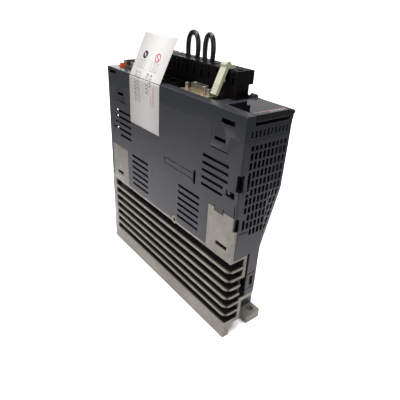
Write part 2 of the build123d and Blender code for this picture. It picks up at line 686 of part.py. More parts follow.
def power_board_screws():
    return group([screw_x(POWER_BOARD_X[0], y, z, 8.0, 1.5, 1) for y, z in STANDOFFS])


def control_board_screws():
    return group([screw_x(CONTROL_BOARD_X[0], y, z, 5.0, 1.1, 1) for y, z in CONTROL_BOSSES])


def power_module():
    """Transistor module clamped to the left face of the heat sink wall, with its pins."""
    x1 = SINK_WALL[0]
    y0, y1, z0, z1 = MODULE
    body = block(x1 - MODULE_T, x1, y0, y1, z0, z1)
    for y, z in MODULE_SCREWS[:2]:
        body -= rod_x(x1 - 8, x1 + 1, y, z, 1.7)
        body -= rod_x(x1 - 8, x1 - 4, y, z, 3.4)
    for i in range(MODULE_PINS):
        y = y0 + 7.0 + i * 5.0
        for z in (z0 + 2.0, z1 - 2.0):
            body += block(POWER_BOARD_X[1], x1 - MODULE_T + 0.1, y - 0.4, y + 0.4, z - 0.4, z + 0.4)
    return body


def rectifier_bridge():
    x1 = SINK_WALL[0]
    y0, y1, z0, z1 = BRIDGE
    body = block(x1 - BRIDGE_T, x1, y0, y1, z0, z1)
    for y, z in MODULE_SCREWS[2:]:
        body -= rod_x(x1 - 8, x1 + 1, y, z, 1.7)
    for i in range(BRIDGE_PINS):
        y = y0 + 7.5 + i * 7.0
        body += block(POWER_BOARD_X[1], x1 - BRIDGE_T + 0.1, y - 0.6, y + 0.6, z1 - 5.0, z1 - 4.0)
    return body


def module_screws():
    x1 = SINK_WALL[0]
    screws = [screw_x(x1 - 4.0, y, z, 6.0, 1.5, 1) for y, z in MODULE_SCREWS[:2]]
    screws += [screw_x(x1 - BRIDGE_T, y, z, BRIDGE_T + 2.0, 1.5, 1) for y, z in MODULE_SCREWS[2:]]
    return group(screws)


def earth_screw():
    """Earth terminal screw below the shelf of the bottom end."""
    face = -TAB_Y
    shank = rod_y(face, face + 5.0, EARTH_X, EARTH_Z, EARTH_R)
    washer = rod_y(face - 0.8, face, EARTH_X, EARTH_Z, 4.2)
    head = rod_y(face - 3.0, face - 0.8, EARTH_X, EARTH_Z, 3.4)
    head = fillet(head.edges().sort_by(Axis.Y)[:1], 0.8)
    screw = shank + washer + head
    deep = face - 2.0
    screw -= block(EARTH_X - 2.4, EARTH_X + 2.4, face - 4, deep, EARTH_Z - 0.4, EARTH_Z + 0.4)
    return screw - block(EARTH_X - 0.4, EARTH_X + 0.4, face - 4, deep, EARTH_Z - 2.4, EARTH_Z + 2.4)


def bus_capacitors():
    """Three electrolytic cans lying across the gap between the boards."""
    cans = []
    for y in CAN_Y:
        can = rod_x(POWER_BOARD_X[1], CAN_END_X, y, CAN_Z, CAN_R)
        can = fillet(can.edges().sort_by(Axis.X)[-1:], 1.2)
        ring = rod_x(-12.6, -11.8, y, CAN_Z, CAN_R + 1) - rod_x(-13, -11, y, CAN_Z, CAN_R - 0.4)
        low = CAN_END_X - 0.3
        vent = block(low, CAN_END_X + 1, y - 6, y + 6, CAN_Z - 0.3, CAN_Z + 0.3)
        vent += block(low, CAN_END_X + 1, y - 0.3, y + 0.3, CAN_Z - 6, CAN_Z + 6)
        cans.append(can - ring - vent)
    return group(cans)


def inrush_relay():
    y0, y1, z0, z1 = RELAY
    return rounded_block(POWER_BOARD_X[1], RELAY_X1, y0, y1, z0, z1, 0.8, Axis.X)


def supply_transformer():
    """Switching supply transformer: ferrite core round a taped winding."""
    y0, y1, z0, z1 = WINDING
    core = block(POWER_BOARD_X[1] + 2, 6.0, CORE[0], CORE[1], CORE[2], CORE[3])
    core -= block(POWER_BOARD_X[1] + 1, 7.0, y0 + 1, y1 - 1, z0, z1)
    winding = rounded_block(POWER_BOARD_X[1], 8.0, y0, y1, z0, z1, 3.0, Axis.X)
    return core + winding


def current_sensors():
    sensors = []
    for y in SENSORS_Y:
        sensors.append(block(POWER_BOARD_X[1], -9.0, y, y + 7.0, 124.0, 136.0))
    return group(sensors)


def board_link_connector():
    """Stacking connector that joins the two boards."""
    y0, y1, z0, z1 = LINK
    plug = block(POWER_BOARD_X[1], -2.0, y0, y1, z0, z1)
    socket = block(-2.0, CONTROL_BOARD_X[0], y0 + 1, y1 - 1, z0 + 0.5, z1 - 0.5)
    return plug + socket


def control_chips():
    """Processor, gate array and memories on the control board."""
    x1 = CONTROL_BOARD_X[0]
    chips = []
    for y, z, wide, tall in CHIPS:
        chips.append(block(x1 - CHIP_T, x1, y - wide / 2, y + wide / 2, z - tall / 2, z + tall / 2))
    return group(chips)


# ---- deck and connectors of the right-hand column --------------------------------------------------------
def footprint(box, grow):
    return block(box[0] - grow, box[1] + grow, box[2] - grow, box[3] + grow, 160.0, 170.0)


def header_span(name):
    lowest, pitch, count, y0, y1 = PLUGS[name]
    return y0 + 0.05, y1 - 0.05


def connector_deck():
    """Black floor of the opening, with a cut-out for each connector."""
    x_in = XR - WALL - 0.1
    deck = block(-x_in, x_in, -YE + WALL + 0.1, DECK_END_Y, DECK_Z[0], DECK_Z[1])
    for name in PLUGS:
        y0, y1 = header_span(name)
        deck -= block(PLUG_FAR_X - 0.1, PLUG_NEAR_X + 0.1, y0 - 0.1, y1 + 0.1, 160, 170)
    for box in (SIGNAL, NETWORK, USB, ENCODER, SAFETY):
        deck -= footprint(box, 0.15)
    for y in POSTS_Y:
        deck -= rod_z(160, 170, POST_X, y, 1.6)
    return deck


def ground_plate():
    """Sheet metal plate that the signal connector is screwed to."""
    x0 = PLUG_NEAR_X + 0.7
    plate = block(x0, OPENING_X1 - 0.1, GROUND_Y[0], GROUND_Y[1], GROUND_Z[0], GROUND_Z[1])
    plate -= footprint(SIGNAL, 0.1)
    for y in POSTS_Y:
        plate -= rod_z(160, 170, POST_X, y, 1.35)
    return plate


def signal_connector_shell():
    """Pressed metal shell with rounded ends round the signal contacts."""
    x0, x1, y0, y1 = SIGNAL
    shell = rounded_block(x0, x1, y0, y1, 162.0, SIGNAL_TOP, 2.3)
    bore = rounded_block(x0 + 0.5, x1 - 0.5, y0 + 0.5, y1 - 0.5, 161.0, SIGNAL_TOP + 1, 1.9)
    shell = shell - bore
    rim = shell.faces().sort_by(Axis.Z)[-1]
    return fillet(rim.edges(), 0.15)


def signal_connector_insert():
    """Insulator with its contact tongue, and the foot that stands on the control board."""
    x0, x1, y0, y1 = SIGNAL
    body = rounded_block(x0 + 0.5, x1 - 0.5, y0 + 0.5, y1 - 0.5, 161.0, 166.6, 1.9)
    tongue = block((x0 + x1) / 2 - 0.8, (x0 + x1) / 2 + 0.8, y0 + 2.4, y1 - 2.4, 166.0, 171.4)
    foot = block(x0, BOARD_SIDE_X, y0 - 1.0, y1 + 1.0, 152.0, 161.6)
    middle = (x0 + x1) / 2
    spine = block(middle - 0.3, middle + 0.3, -YE, YE, 160, 180)
    for i in range(SIGNAL_CONTACTS):
        y = y0 + 3.2 + i * 1.12
        tongue -= block(x0, x1, y - 0.2, y + 0.2, 167.2, 170.8) - spine
    return body + tongue + foot


def jack_posts():
    """Two hexagonal jack posts that take the locking screws of the signal plug."""
    posts = []
    for y in POSTS_Y:
        hexagon = extrude(RegularPolygon(POST_R, 6), POST_TOP_Z - GROUND_Z[1])
        post = Pos(POST_X, y, GROUND_Z[1]) * hexagon
        post += rod_z(GROUND_Z[1] - 4.0, GROUND_Z[1] + 0.1, POST_X, y, 1.25)
        posts.append(post - rod_z(167.5, POST_TOP_Z + 1, POST_X, y, 1.0))
    return group(posts)


def network_sockets():
    """Black double socket for the controller network."""
    x0, x1, y0, y1 = NETWORK
    body = block(x0, x1, y0, y1, 156.0, 170.6)
    body = fillet(body.edges().filter_by(Axis.Z), 0.5)
    middle = (y0 + y1) / 2
    for a, b in ((y0 + 1.2, middle - 0.7), (middle + 0.7, y1 - 1.2)):
        body -= block(x0 + 1.4, x1 - 1.6, a, b, 160.0, 171.0)
        body -= block(x1 - 3.4, x1 - 1.0, a + 2.6, b - 2.6, 166.0, 171.0)
        body += block(x0 + 3.4, x0 + 5.0, a + 2.0, b - 2.0, 159.0, 168.5)
    return body + block(x1 - 2, BOARD_SIDE_X, y0 + 1, y1 - 1, 150.0, 158.0)


def usb_socket():
    x0, x1, y0, y1 = USB
    shell = rounded_block(x0, x1, y0, y1, 157.0, 168.6, 0.8)
    shell -= rounded_block(x0 + 0.4, x1 - 0.4, y0 + 0.4, y1 - 0.4, 160.0, 169.0, 0.5)
    tongue = block(3.4, 6.2, y0 + 1.6, y1 - 1.6, 159.5, 167.4)
    return shell + tongue + block(x1 - 2, BOARD_SIDE_X, y0 + 1, y1 - 1, 152.0, 158.0)


def encoder_connector_shell():
    x0, x1, y0, y1 = ENCODER
    shell = rounded_block(x0, x1, y0, y1, 158.0, ENCODER_TOP, 0.7)
    shell -= rounded_block(x0 + 0.5, x1 - 0.5, y0 + 0.5, y1 - 0.5, 157.0, 176.0, 0.4)
    shell -= block(x1 - 1, x1 + 1, y0 + 5.5, y1 - 5.5, 172.0, 176.0)
    for y in (y0 + 3.5, y1 - 3.5):
        shell -= rod_x(x1 - 1, x1 + 1, y, 172.6, 0.9)
    return shell


def encoder_connector_insert():
    x0, x1, y0, y1 = ENCODER
    body = rounded_block(x0 + 0.5, x1 - 0.5, y0 + 0.5, y1 - 0.5, 156.0, 165.5, 0.4)
    tongue = block(x0 + 3.6, x1 - 3.8, y0 + 2.4, y1 - 2.4, 165.0, 173.4)
    return body + tongue + block(x1 - 2, BOARD_SIDE_X, y0 + 1, y1 - 1, 152.0, 158.0)


def safety_socket():
    x0, x1, y0, y1 = SAFETY
    body = block(x0, x1, y0, y1, 156.0, 166.4)
    body -= block(x0 + 0.8, x1 - 0.8, y0 + 0.8, y1 - 0.8, 159.0, 167.0)
    return body + block(x1 - 2, BOARD_SIDE_X, y0 + 0.5, y1 - 0.5, 152.0, 158.0)


def safety_plug():
    """Orange plug that bridges the safety inputs, with its finger tab."""
    x0, x1, y0, y1 = SAFETY
    insert = block(x0 + 0.95, x1 - 0.95, y0 + 0.95, y1 - 0.95, 159.1, 167.0)
    cap = rounded_block(x0 + 0.1, x1 - 0.1, y0 + 0.1, y1 - 0.1, 166.6, 170.4, 0.6)
    tab = rounded_block(x0 + 2.4, x1 - 0.5, y0 + 0.9, y1 - 0.7, 170.0, 172.6, 0.6)
    return insert + cap + fillet(tab.faces().sort_by(Axis.Z)[-1].edges(), 0.5)


# ---- power terminals ---------------------------------------------------------------------------
def poles(name):
    lowest, pitch, count, y0, y1 = PLUGS[name]
    return [lowest + i * pitch for i in range(count)]


def contact_width(name):
    return PLUGS[name][1] * 0.58


def contact_box(name, y):
    half = contact_width(name) / 2
    return block(-12.4, -8.4, y - half, y + half, 154.0, 174.0)


def power_header(name):
    """Fixed socket on the power board that a plug slides into."""
    y0, y1 = header_span(name)
    body = block(PLUG_FAR_X + 0.1, PLUG_NEAR_X - 0.1, y0, y1, HEADER_Z[0], HEADER_Z[1])
    inner_x0 = PLUG_FAR_X + 0.1 + HEADER_WALL
    inner_x1 = PLUG_NEAR_X - 0.1 - HEADER_WALL
    body -= block(inner_x0, inner_x1, y0 + HEADER_WALL, y1 - HEADER_WALL, 152.0, 171.0)
    body -= block(PLUG_FAR_X - 1, POWER_BOARD_X[1], y0 - 1, y1 + 1, 140.0, POWER_BOARD_TOP + 0.05)
    for y in poles(name):
        body -= block(PIN_X - 0.5, PIN_X + 0.5, y - 0.5, y + 0.5, 140.0, 160.0)
    return body


def power_header_pins(name):
    pins = []
    for y in poles(name):
        pin = block(PIN_X - 0.5, PIN_X + 0.5, y - 0.5, y + 0.5, 144.0, 164.0)
        tail = block(POWER_BOARD_X[1], PIN_X + 0.5, y - 0.5, y + 0.5, 143.0, 144.0)
        pins.append(pin + tail)
    return group(pins)


def power_plug(name):
    """Plug-in terminal block: wire holes on top, one test hole and one release slot a pole."""
    lowest, pitch, count, y0, y1 = PLUGS[name]
    outline = [
        (PLUG_FAR_X, PLUG_SEAT_Z), (PLUG_NEAR_X, PLUG_SEAT_Z), (PLUG_NEAR_X, PLUG_TOP - 0.6),
        (PLUG_NEAR_X - 0.6, PLUG_TOP), (-XR, PLUG_TOP), (-XR, PLUG_BEAK_Z), (PLUG_FAR_X, PLUG_BEAK_Z)]
    body = prism_xz(outline, y0, y1)
    body = fillet(body.edges().filter_by(Axis.Z).filter_by(lambda e: e.center().X > -6), 0.4)
    inset = HEADER_WALL + 0.2
    body += block(INSERT_X[0], INSERT_X[1], y0 + inset, y1 - inset, INSERT_Z0, PLUG_SEAT_Z + 1)
    half = 0.95
    for y in poles(name):
        body -= rod_z(WIRE_FOOT_Z, PLUG_TOP + 1, WIRE_X, y, WIRE_HOLE_R)
        body -= Pos(WIRE_X, y, PLUG_TOP - 0.35) * Cone(WIRE_HOLE_R, WIRE_HOLE_R + 0.7, 0.72)
        body -= block(-11.4, -8.2, y - pitch * 0.3, y + pitch * 0.3, 182.5, PLUG_TOP + 1)
        body -= block(-8.0, PLUG_NEAR_X + 1, y - 0.85, y + 0.85, 182.4, 184.1)
        body -= block(-10.0, PLUG_NEAR_X + 1, y - half, y + half, 176.2, 181.2)
        body -= contact_box(name, y)
        body -= block(PIN_X - 0.8, PIN_X + 0.8, y - 0.8, y + 0.8, 150.0, 156.0)
    # shallow joint lines between the poles
    for y in poles(name)[:-1]:
        line = y + pitch / 2
        body -= block(PLUG_NEAR_X - 0.3, PLUG_NEAR_X + 1, line - 0.2, line + 0.2, 171.0, 190)
        body -= block(-XR - 1, PLUG_NEAR_X + 1, line - 0.2, line + 0.2, PLUG_TOP - 0.35, 190)
    return body


def plug_contacts(name):
    """Spring contacts inside a plug, each with the hole that its header pin slides into."""
    contacts = []
    for y in poles(name):
        cage = contact_box(name, y)
        contacts.append(cage - block(PIN_X - 0.65, PIN_X + 0.65, y - 0.65, y + 0.65, 153.0, 168.0))
    return group(contacts)


# ---- jumper wires ---------------------------------------------------------------------------
def loop_route(y0, y1, peak):
    """Control points of a wire loop from one wire hole up, over and down into another."""
    half = (y1 - y0) / 2
    middle = (y0 + y1) / 2
    rise = peak - WIRE_FOOT_Z
    side = [
        (-half, 0.0), (-half, 0.26 * rise), (-half - 0.55, 0.52 * rise),
        (-half - 0.15, 0.80 * rise), (-0.5 * half, 1.005 * rise)]
    points = [(WIRE_X, middle + dy, WIRE_FOOT_Z + dz) for dy, dz in side]
    points += [(WIRE_X, middle - dy, WIRE_FOOT_Z + dz) for dy, dz in reversed(side)]
    return points


def bend_radii(points):
    """Radius of each arc: as large as its two runs allow."""
    radii = []
    for a, b, c in zip(points, points[1:], points[2:]):
        first = Vector(*b) - Vector(*a)
        second = Vector(*c) - Vector(*b)
        turn = math.radians(first.get_angle(second))
        radii.append(0.45 * min(first.length, second.length) / math.tan(turn / 2))
    return radii


def jumper_wire(label, y0, y1, peak):
    points = loop_route(y0, y1, peak)
    radii = bend_radii(points)
    path = FilletPolyline(*points, radius=radii)
    tube = sweep(Plane(points[0], z_dir=(0, 0, 1)) * Circle(WIRE_D / 2), path)
    section = math.pi * WIRE_D ** 2 / 4
    print(label, "radii", [round(r, 1) for r in radii], "length", round(path.length, 1))
    print(label, "volume", round(tube.volume, 1), "section x length", round(section * path.length, 1))
    return tube


def long_jumper_wire():
    ys = poles("control_power")
    return jumper_wire("long_jumper_wire", ys[2], ys[4], LONG_LOOP_TOP)


def short_jumper_wire():
    ys = poles("line_power")
    return jumper_wire("short_jumper_wire", ys[0], ys[1], SHORT_LOOP_TOP)


# ---- opening lever ---------------------------------------------------------------------------
def opening_lever():
    """Ivory lever hooked over the top edge of the plug; its peg enters a release slot."""
    y_peg = poles("line_power")[LEVER_POLE]
    y0, y1 = LEVER_Y
    px, pz = LEVER_PIVOT
    bar = block(0, LEVER_T, y0, y1, -LEVER_L, 1.0)
    bar = fillet(bar.edges().filter_by(Axis.Y), 0.6)
    for i in range(LEVER_RIBS):
        z = -LEVER_L + 1.6 + i * 1.5
        bar -= block(LEVER_T - 0.35, LEVER_T + 1, y0 - 1, y1 + 1, z, z + 0.6)
    peg = block(-4.2, 0.2, y_peg - 0.75, y_peg + 0.75, LEVER_PEG_Z[0], LEVER_PEG_Z[1])
    lever = Pos(px, 0, pz) * Rot(0, -LEVER_TILT, 0) * (bar + peg)
    # rounded crown, then the arm that lies on the plug, hooked into a wire hole's funnel
    lever += rod_y(y0, y1, px + 0.6, pz + 1.2, LEVER_CROWN_R)
    lever += rod_y(y0 - 0.4, y1 + 0.4, px, pz, LEVER_PIVOT_R)
    low = PLUG_TOP + 0.3
    arm = block(px - 5.2, px + 1.0, y0, y1, low, low + LEVER_ARM_T)
    lever += fillet(arm.edges().filter_by(Axis.Y).sort_by(Axis.X)[:2], 0.8)
    tip = block(px - 4.6, px - 3.2, y_peg - 1.5, y_peg + 1.5, PLUG_TOP - 1.6, low + 1)
    return lever + tip


# ---- labels ---------------------------------------------------------------------------
def warning_tag():
    """Paper tag stuck on the right side, folded over the rim and leaning back over the opening."""
    outside = XR + 0.15
    fold_x = XR - 0.5
    path = [(outside, TAG_LOW_Z), (outside, 168.8), (outside - 0.1, 170.2), (fold_x, TAG_FOLD_Z)]
    path.append((fold_x - (TAG_TOP_Z - TAG_FOLD_Z) * TAG_LEAN, TAG_TOP_Z))
    outer = [(x + TAG_T, z + TAG_T * TAG_LEAN * (z > DEPTH)) for x, z in path]
    return prism_xz(path + outer[::-1], TAG_Y[0], TAG_Y[1])


def rating_label():
    """Blank rating label on the left side."""
    return block(-XR - LABEL_T, -XR, LABEL_Y[0], LABEL_Y[1], LABEL_Z[0], LABEL_Z[1])


def build_parts():
    whole = whole_case()
    parts = {
        "heat_sink": heat_sink(),
        "main_case": main_case(whole),
        "top_foot_cover": top_foot_cover(whole),
        "bottom_foot_cover": bottom_foot_cover(whole),
        "front_cover": front_cover(),
        "display_lid": display_lid(),
        "lid_hinge_pins": lid_hinge_pins(),
        "seven_segment_display": seven_segment_display(),
        "rotary_switch_body": rotary_switch_body(),
        "rotary_switch_rotor": rotary_switch_rotor(),
        "dip_switch_body": dip_switch_body(),
        "charge_lamp": charge_lamp(),
        "power_board": power_board(),
        "control_board": control_board(),
        "board_standoffs": board_standoffs(),
        "power_board_screws": power_board_screws(),
        "control_board_screws": control_board_screws(),
        "power_module": power_module(),
        "rectifier_bridge": rectifier_bridge(),
        "module_screws": module_screws(),
        "earth_screw": earth_screw(),
        "bus_capacitors": bus_capacitors(),
        "inrush_relay": inrush_relay(),
        "supply_transformer": supply_transformer(),
        "current_sensors": current_sensors(),
        "board_link_connector": board_link_connector(),
        "control_chips": control_chips(),
        "connector_deck": connector_deck(),
        "ground_plate": ground_plate(),
        "signal_connector_shell": signal_connector_shell(),
        "signal_connector_insert": signal_connector_insert(),
        "jack_posts": jack_posts(),
        "network_sockets": network_sockets(),
        "usb_socket": usb_socket(),
        "encoder_connector_shell": encoder_connector_shell(),
        "encoder_connector_insert": encoder_connector_insert(),
        "safety_socket": safety_socket(),
        "safety_plug": safety_plug(),
        "opening_lever": opening_lever(),
        "long_jumper_wire": long_jumper_wire(),
        "short_jumper_wire": short_jumper_wire(),
        "warning_tag": warning_tag(),
        "rating_label": rating_label(),
    }
    for i in range(DIP_COUNT):
        parts[f"dip_slider_{i + 1}"] = dip_slider(i)
    for name in PLUGS:
        parts[f"{name}_header"] = power_header(name)
        parts[f"{name}_header_pins"] = power_header_pins(name)
        parts[f"{name}_plug"] = power_plug(name)
        parts[f"{name}_plug_contacts"] = plug_contacts(name)
    return parts


os.makedirs("parts", exist_ok=True)
for node, shape in build_parts().items():
    export_step(shape, f"parts/{node}.step")
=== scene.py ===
import json
import math
import random

import bmesh
import bpy
from mathutils import Matrix, Vector

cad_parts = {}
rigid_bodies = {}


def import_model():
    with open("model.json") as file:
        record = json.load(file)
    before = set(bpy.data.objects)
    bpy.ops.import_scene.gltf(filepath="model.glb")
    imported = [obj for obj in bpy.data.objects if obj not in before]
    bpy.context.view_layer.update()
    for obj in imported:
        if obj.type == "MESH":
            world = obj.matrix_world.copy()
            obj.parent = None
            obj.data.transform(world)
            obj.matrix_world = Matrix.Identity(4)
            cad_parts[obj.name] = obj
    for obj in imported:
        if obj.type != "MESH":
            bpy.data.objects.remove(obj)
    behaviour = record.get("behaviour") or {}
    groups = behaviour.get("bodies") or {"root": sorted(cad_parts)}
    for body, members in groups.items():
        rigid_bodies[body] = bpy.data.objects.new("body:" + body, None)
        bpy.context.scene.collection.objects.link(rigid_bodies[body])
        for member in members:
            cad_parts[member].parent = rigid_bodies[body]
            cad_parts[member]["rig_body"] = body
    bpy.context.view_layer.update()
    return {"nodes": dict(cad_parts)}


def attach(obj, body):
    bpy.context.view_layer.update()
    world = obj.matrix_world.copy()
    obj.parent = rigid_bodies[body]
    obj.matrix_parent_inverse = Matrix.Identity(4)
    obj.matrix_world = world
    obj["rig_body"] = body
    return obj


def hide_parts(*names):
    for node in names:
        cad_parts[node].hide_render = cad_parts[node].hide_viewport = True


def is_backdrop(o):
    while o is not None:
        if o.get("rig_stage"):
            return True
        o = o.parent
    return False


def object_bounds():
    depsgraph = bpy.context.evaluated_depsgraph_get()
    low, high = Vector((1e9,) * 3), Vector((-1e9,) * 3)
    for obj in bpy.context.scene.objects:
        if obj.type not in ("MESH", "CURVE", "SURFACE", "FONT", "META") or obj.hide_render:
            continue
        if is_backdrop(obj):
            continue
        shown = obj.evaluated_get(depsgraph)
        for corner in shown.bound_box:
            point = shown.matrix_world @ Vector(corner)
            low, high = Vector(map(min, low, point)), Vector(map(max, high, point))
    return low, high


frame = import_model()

MM = 0.001
scene = bpy.context.scene
random.seed(7)

# ---- camera: high up, towards the right side and the top end -----------------------------------
CAMERA_AT = (171.15, 227.59, 229.27)      # mm
CAMERA_AZIMUTH = 139.92
CAMERA_ELEVATION = 28.46
CAMERA_ROLL = 3.66
CAMERA_LENS = 34.68
SENSOR_WIDTH = 36


def add_camera():
    """Camera turned by its azimuth, elevation and roll."""
    azimuth = math.radians(CAMERA_AZIMUTH)
    elevation = math.radians(CAMERA_ELEVATION)
    roll = math.radians(CAMERA_ROLL)
    flat = math.cos(elevation)
    back = Vector((math.sin(azimuth) * flat, -math.cos(azimuth) * flat, math.sin(elevation)))
    level = Vector((math.cos(azimuth), math.sin(azimuth), 0))
    upright = back.cross(level)
    right = level * math.cos(roll) + upright * math.sin(roll)
    up = upright * math.cos(roll) - level * math.sin(roll)
    data = bpy.data.cameras.new("camera")
    data.lens = CAMERA_LENS
    data.sensor_width = SENSOR_WIDTH
    data.clip_start = 0.01
    data.clip_end = 20
    camera = bpy.data.objects.new("camera", data)
    scene.collection.objects.link(camera)
    turn = Matrix((right, up, back)).transposed().to_4x4()
    camera.matrix_world = Matrix.Translation(Vector(CAMERA_AT) * MM) @ turn
    scene.camera = camera


add_camera()

# ---- jumper wires: the only cords ---------------------------------------------------------------
WIRE_D = 3.5
WIRE_X = -14.5
WIRE_FOOT_Z = 180.0
# one side of a loop, foot to crown: shares of half its width, bulge outwards in mm, shares of its rise
LOOP_SIDE = (
    (-1.0, 0.0, 0.0), (-1.0, 0.0, 0.26), (-1.0, -0.55, 0.52), (-1.0, -0.15, 0.80), (-0.5, 0.0, 1.005))
LONG_LOOP = {"y0": -17.3, "y1": -6.3, "peak": 202.6, "length": 51.6}
SHORT_LOOP = {"y0": 2.4, "y1": 10.6, "peak": 202.8, "length": 50.0}


def loop_route(y0, y1, peak):
    """Points of a wire loop from one wire hole up, over and down into another."""
    half = (y1 - y0) / 2
    middle = (y0 + y1) / 2
    rise = peak - WIRE_FOOT_Z
    side = [(share * half + bulge, up * rise) for share, bulge, up in LOOP_SIDE]
    points = [(WIRE_X, middle + dy, WIRE_FOOT_Z + dz) for dy, dz in side]
    points += [(WIRE_X, middle - dy, WIRE_FOOT_Z + dz) for dy, dz in reversed(side)]
    return [Vector(p) * MM for p in points]


def jumper_wire(name, node, body, y0, y1, peak, length):
    """Stiff wire loop that stands for a CAD wire and rides on its plug."""
    points = loop_route(y0, y1, peak)
    curve = bpy.data.curves.new(name, "CURVE")
    curve.dimensions = "3D"
    spline = curve.splines.new("NURBS")
    spline.points.add(len(points) - 1)
    for place, point in zip(spline.points, points):
        place.co = (point.x, point.y, point.z, 1)
        place.radius = WIRE_D / 2 * MM
    spline.order_u = 3
    spline.use_endpoint_u = True
    spline.resolution_u = 12
    curve.bevel_depth = 1.0    # times each point's radius, so that the curve's bounds hold the real wire
    curve.bevel_resolution = 8
    curve.use_fill_caps = True
    wire = bpy.data.objects.new(name, curve)
    scene.collection.objects.link(wire)
    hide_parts(node)
    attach(wire, body)
    return wire


long_wire = jumper_wire("long_jumper_loop", "long_jumper_wire", "control_plug", **LONG_LOOP)
short_wire = jumper_wire("short_jumper_loop", "short_jumper_wire", "line_plug", **SHORT_LOOP)


# ---- materials -----------------------------------------------------------------------------------
# noise scales, in cycles a metre
UNEVEN_SCALE = 55.0         # slow changes of tone in plastic
RUB_SCALE = 320.0           # where an edge of plastic is rubbed
GLOSS_SCALE = 140.0         # changes of gloss in plastic
CAST_UNEVEN_SCALE = 70.0
CAST_SPECK_SCALE = 600.0
CAST_RUB_SCALE = 240.0
CAST_GLOSS_SCALE = 180.0
FIBRE_SCALE = 900.0
DRAWN_SCALE = 4.0
NOISE_ROUGHNESS = 0.55
PATCH_BAND = (0.35, 0.65)   # noise between these is a partly rubbed patch
EDGE_BAND = (0.72, 0.97)    # how far the rounded normal leans off the true one, as a cosine
SPECK_SHARE = 0.5           # strength and tone of the dark specks in cast metal
SPECK_TONE = 0.62
# bump heights and edge widths, in metres
PLASTIC_GRAIN_DEPTH = 0.00003
CAST_GRAIN_DEPTH = 0.00005
DRAWN_DEPTH = 0.00002
PLASTIC_RUB_WIDTH = 0.0004
CAST_RUB_WIDTH = 0.0005
# near-black colour of the painted shade in the openings of the shell and between the fins
PAINTED_SHADE_COLOUR = (0.004, 0.004, 0.005)


def new_material(name):
    """Empty material with its node tree and its one shader."""
    material = bpy.data.materials.new(name)
    material.use_nodes = True
    tree = material.node_tree
    tree.nodes.clear()
    shader = tree.nodes.new("ShaderNodeBsdfPrincipled")
    output = tree.nodes.new("ShaderNodeOutputMaterial")
    tree.links.new(shader.outputs["BSDF"], output.inputs["Surface"])
    return material, tree, shader


def add_noise(tree, scale, detail, stretch=None):
    """Noise in the part's own frame, drawn out along an axis where stretch says so."""
    place = tree.nodes.new("ShaderNodeTexCoord")
    noise = tree.nodes.new("ShaderNodeTexNoise")
    noise.inputs["Scale"].default_value = scale
    noise.inputs["Detail"].default_value = detail
    noise.inputs["Roughness"].default_value = NOISE_ROUGHNESS
    source = place.outputs["Object"]
    if stretch:
        mapping = tree.nodes.new("ShaderNodeMapping")
        mapping.inputs["Scale"].default_value = stretch
        tree.links.new(source, mapping.inputs["Vector"])
        source = mapping.outputs["Vector"]
    tree.links.new(source, noise.inputs["Vector"])
    return noise.outputs["Fac"]


def remap(tree, value, low, high, from_low=0.3, from_high=0.7):
    """Value brought from one range to another, and held at its ends."""
    node = tree.nodes.new("ShaderNodeMapRange")
    node.inputs["From Min"].default_value = from_low
    node.inputs["From Max"].default_value = from_high
    node.inputs["To Min"].default_value = low
    node.inputs["To Max"].default_value = high
    tree.links.new(value, node.inputs["Value"])
    return node.outputs["Result"]


def blend_colours(tree, factor, first, second):
    """Mix of two colours, each a socket or three numbers."""
    node = tree.nodes.new("ShaderNodeMix")
    node.data_type = "RGBA"
    tree.links.new(factor, node.inputs[0])
    for socket, value in ((node.inputs[6], first), (node.inputs[7], second)):
        if isinstance(value, tuple):
            socket.default_value = (*value, 1)
        else:
            tree.links.new(value, socket)
    return node.outputs[2]


def add_bump(tree, shader, height, strength, distance):
    bump = tree.nodes.new("ShaderNodeBump")
    bump.inputs["Strength"].default_value = strength
    bump.inputs["Distance"].default_value = distance
    tree.links.new(height, bump.inputs["Height"])
    tree.links.new(bump.outputs["Normal"], shader.inputs["Normal"])


def multiply(tree, first, second):
    node = tree.nodes.new("ShaderNodeMath")
    node.operation = "MULTIPLY"
    tree.links.new(first, node.inputs[0])
    tree.links.new(second, node.inputs[1])
    return node.outputs[0]


def edge_mask(tree, radius):
    """1 where an edge of the surface is within the radius, 0 on the flat."""
    bevel = tree.nodes.new("ShaderNodeBevel")
    bevel.samples = 4
    bevel.inputs["Radius"].default_value = radius
    here = tree.nodes.new("ShaderNodeNewGeometry")
    dot = tree.nodes.new("ShaderNodeVectorMath")
    dot.operation = "DOT_PRODUCT"
    tree.links.new(bevel.outputs["Normal"], dot.inputs[0])
    tree.links.new(here.outputs["True Normal"], dot.inputs[1])
    return remap(tree, dot.outputs["Value"], 1.0, 0.0, *EDGE_BAND)


def plastic(name, colour, roughness, mottle=0.12, grain=2600.0, bump=0.25, wear=0.0, wear_colour=None,
            specular=0.5, painted_slot_shade=None):
    """Moulded plastic: fine grain, slightly uneven colour and gloss, lighter rubbed edges, and painted
    shade in the openings where their bounds are given.
    """
    material, tree, shader = new_material(name)
    broad = add_noise(tree, UNEVEN_SCALE, 4.0)
    dark = tuple(c * (1 - mottle) for c in colour)
    light = tuple(c * (1 + mottle) for c in colour)
    shade = blend_colours(tree, remap(tree, broad, 0.0, 1.0), dark, light)
    if wear:
        patches = remap(tree, add_noise(tree, RUB_SCALE, 5.0), 0.0, wear, *PATCH_BAND)
        rub = multiply(tree, edge_mask(tree, PLASTIC_RUB_WIDTH), patches)
        shade = blend_colours(tree, rub, shade, wear_colour)
    # painted shade on the walls of the openings, between the given bounds
    if painted_slot_shade:
        shade = paint_slot_shade(tree, shade, *painted_slot_shade)
    tree.links.new(shade, shader.inputs["Base Color"])
    gloss = remap(tree, add_noise(tree, GLOSS_SCALE, 5.0), roughness * 0.86, roughness * 1.14)
    tree.links.new(gloss, shader.inputs["Roughness"])
    shader.inputs["Specular IOR Level"].default_value = specular
    add_bump(tree, shader, add_noise(tree, grain, 2.0), bump, PLASTIC_GRAIN_DEPTH)
    return material


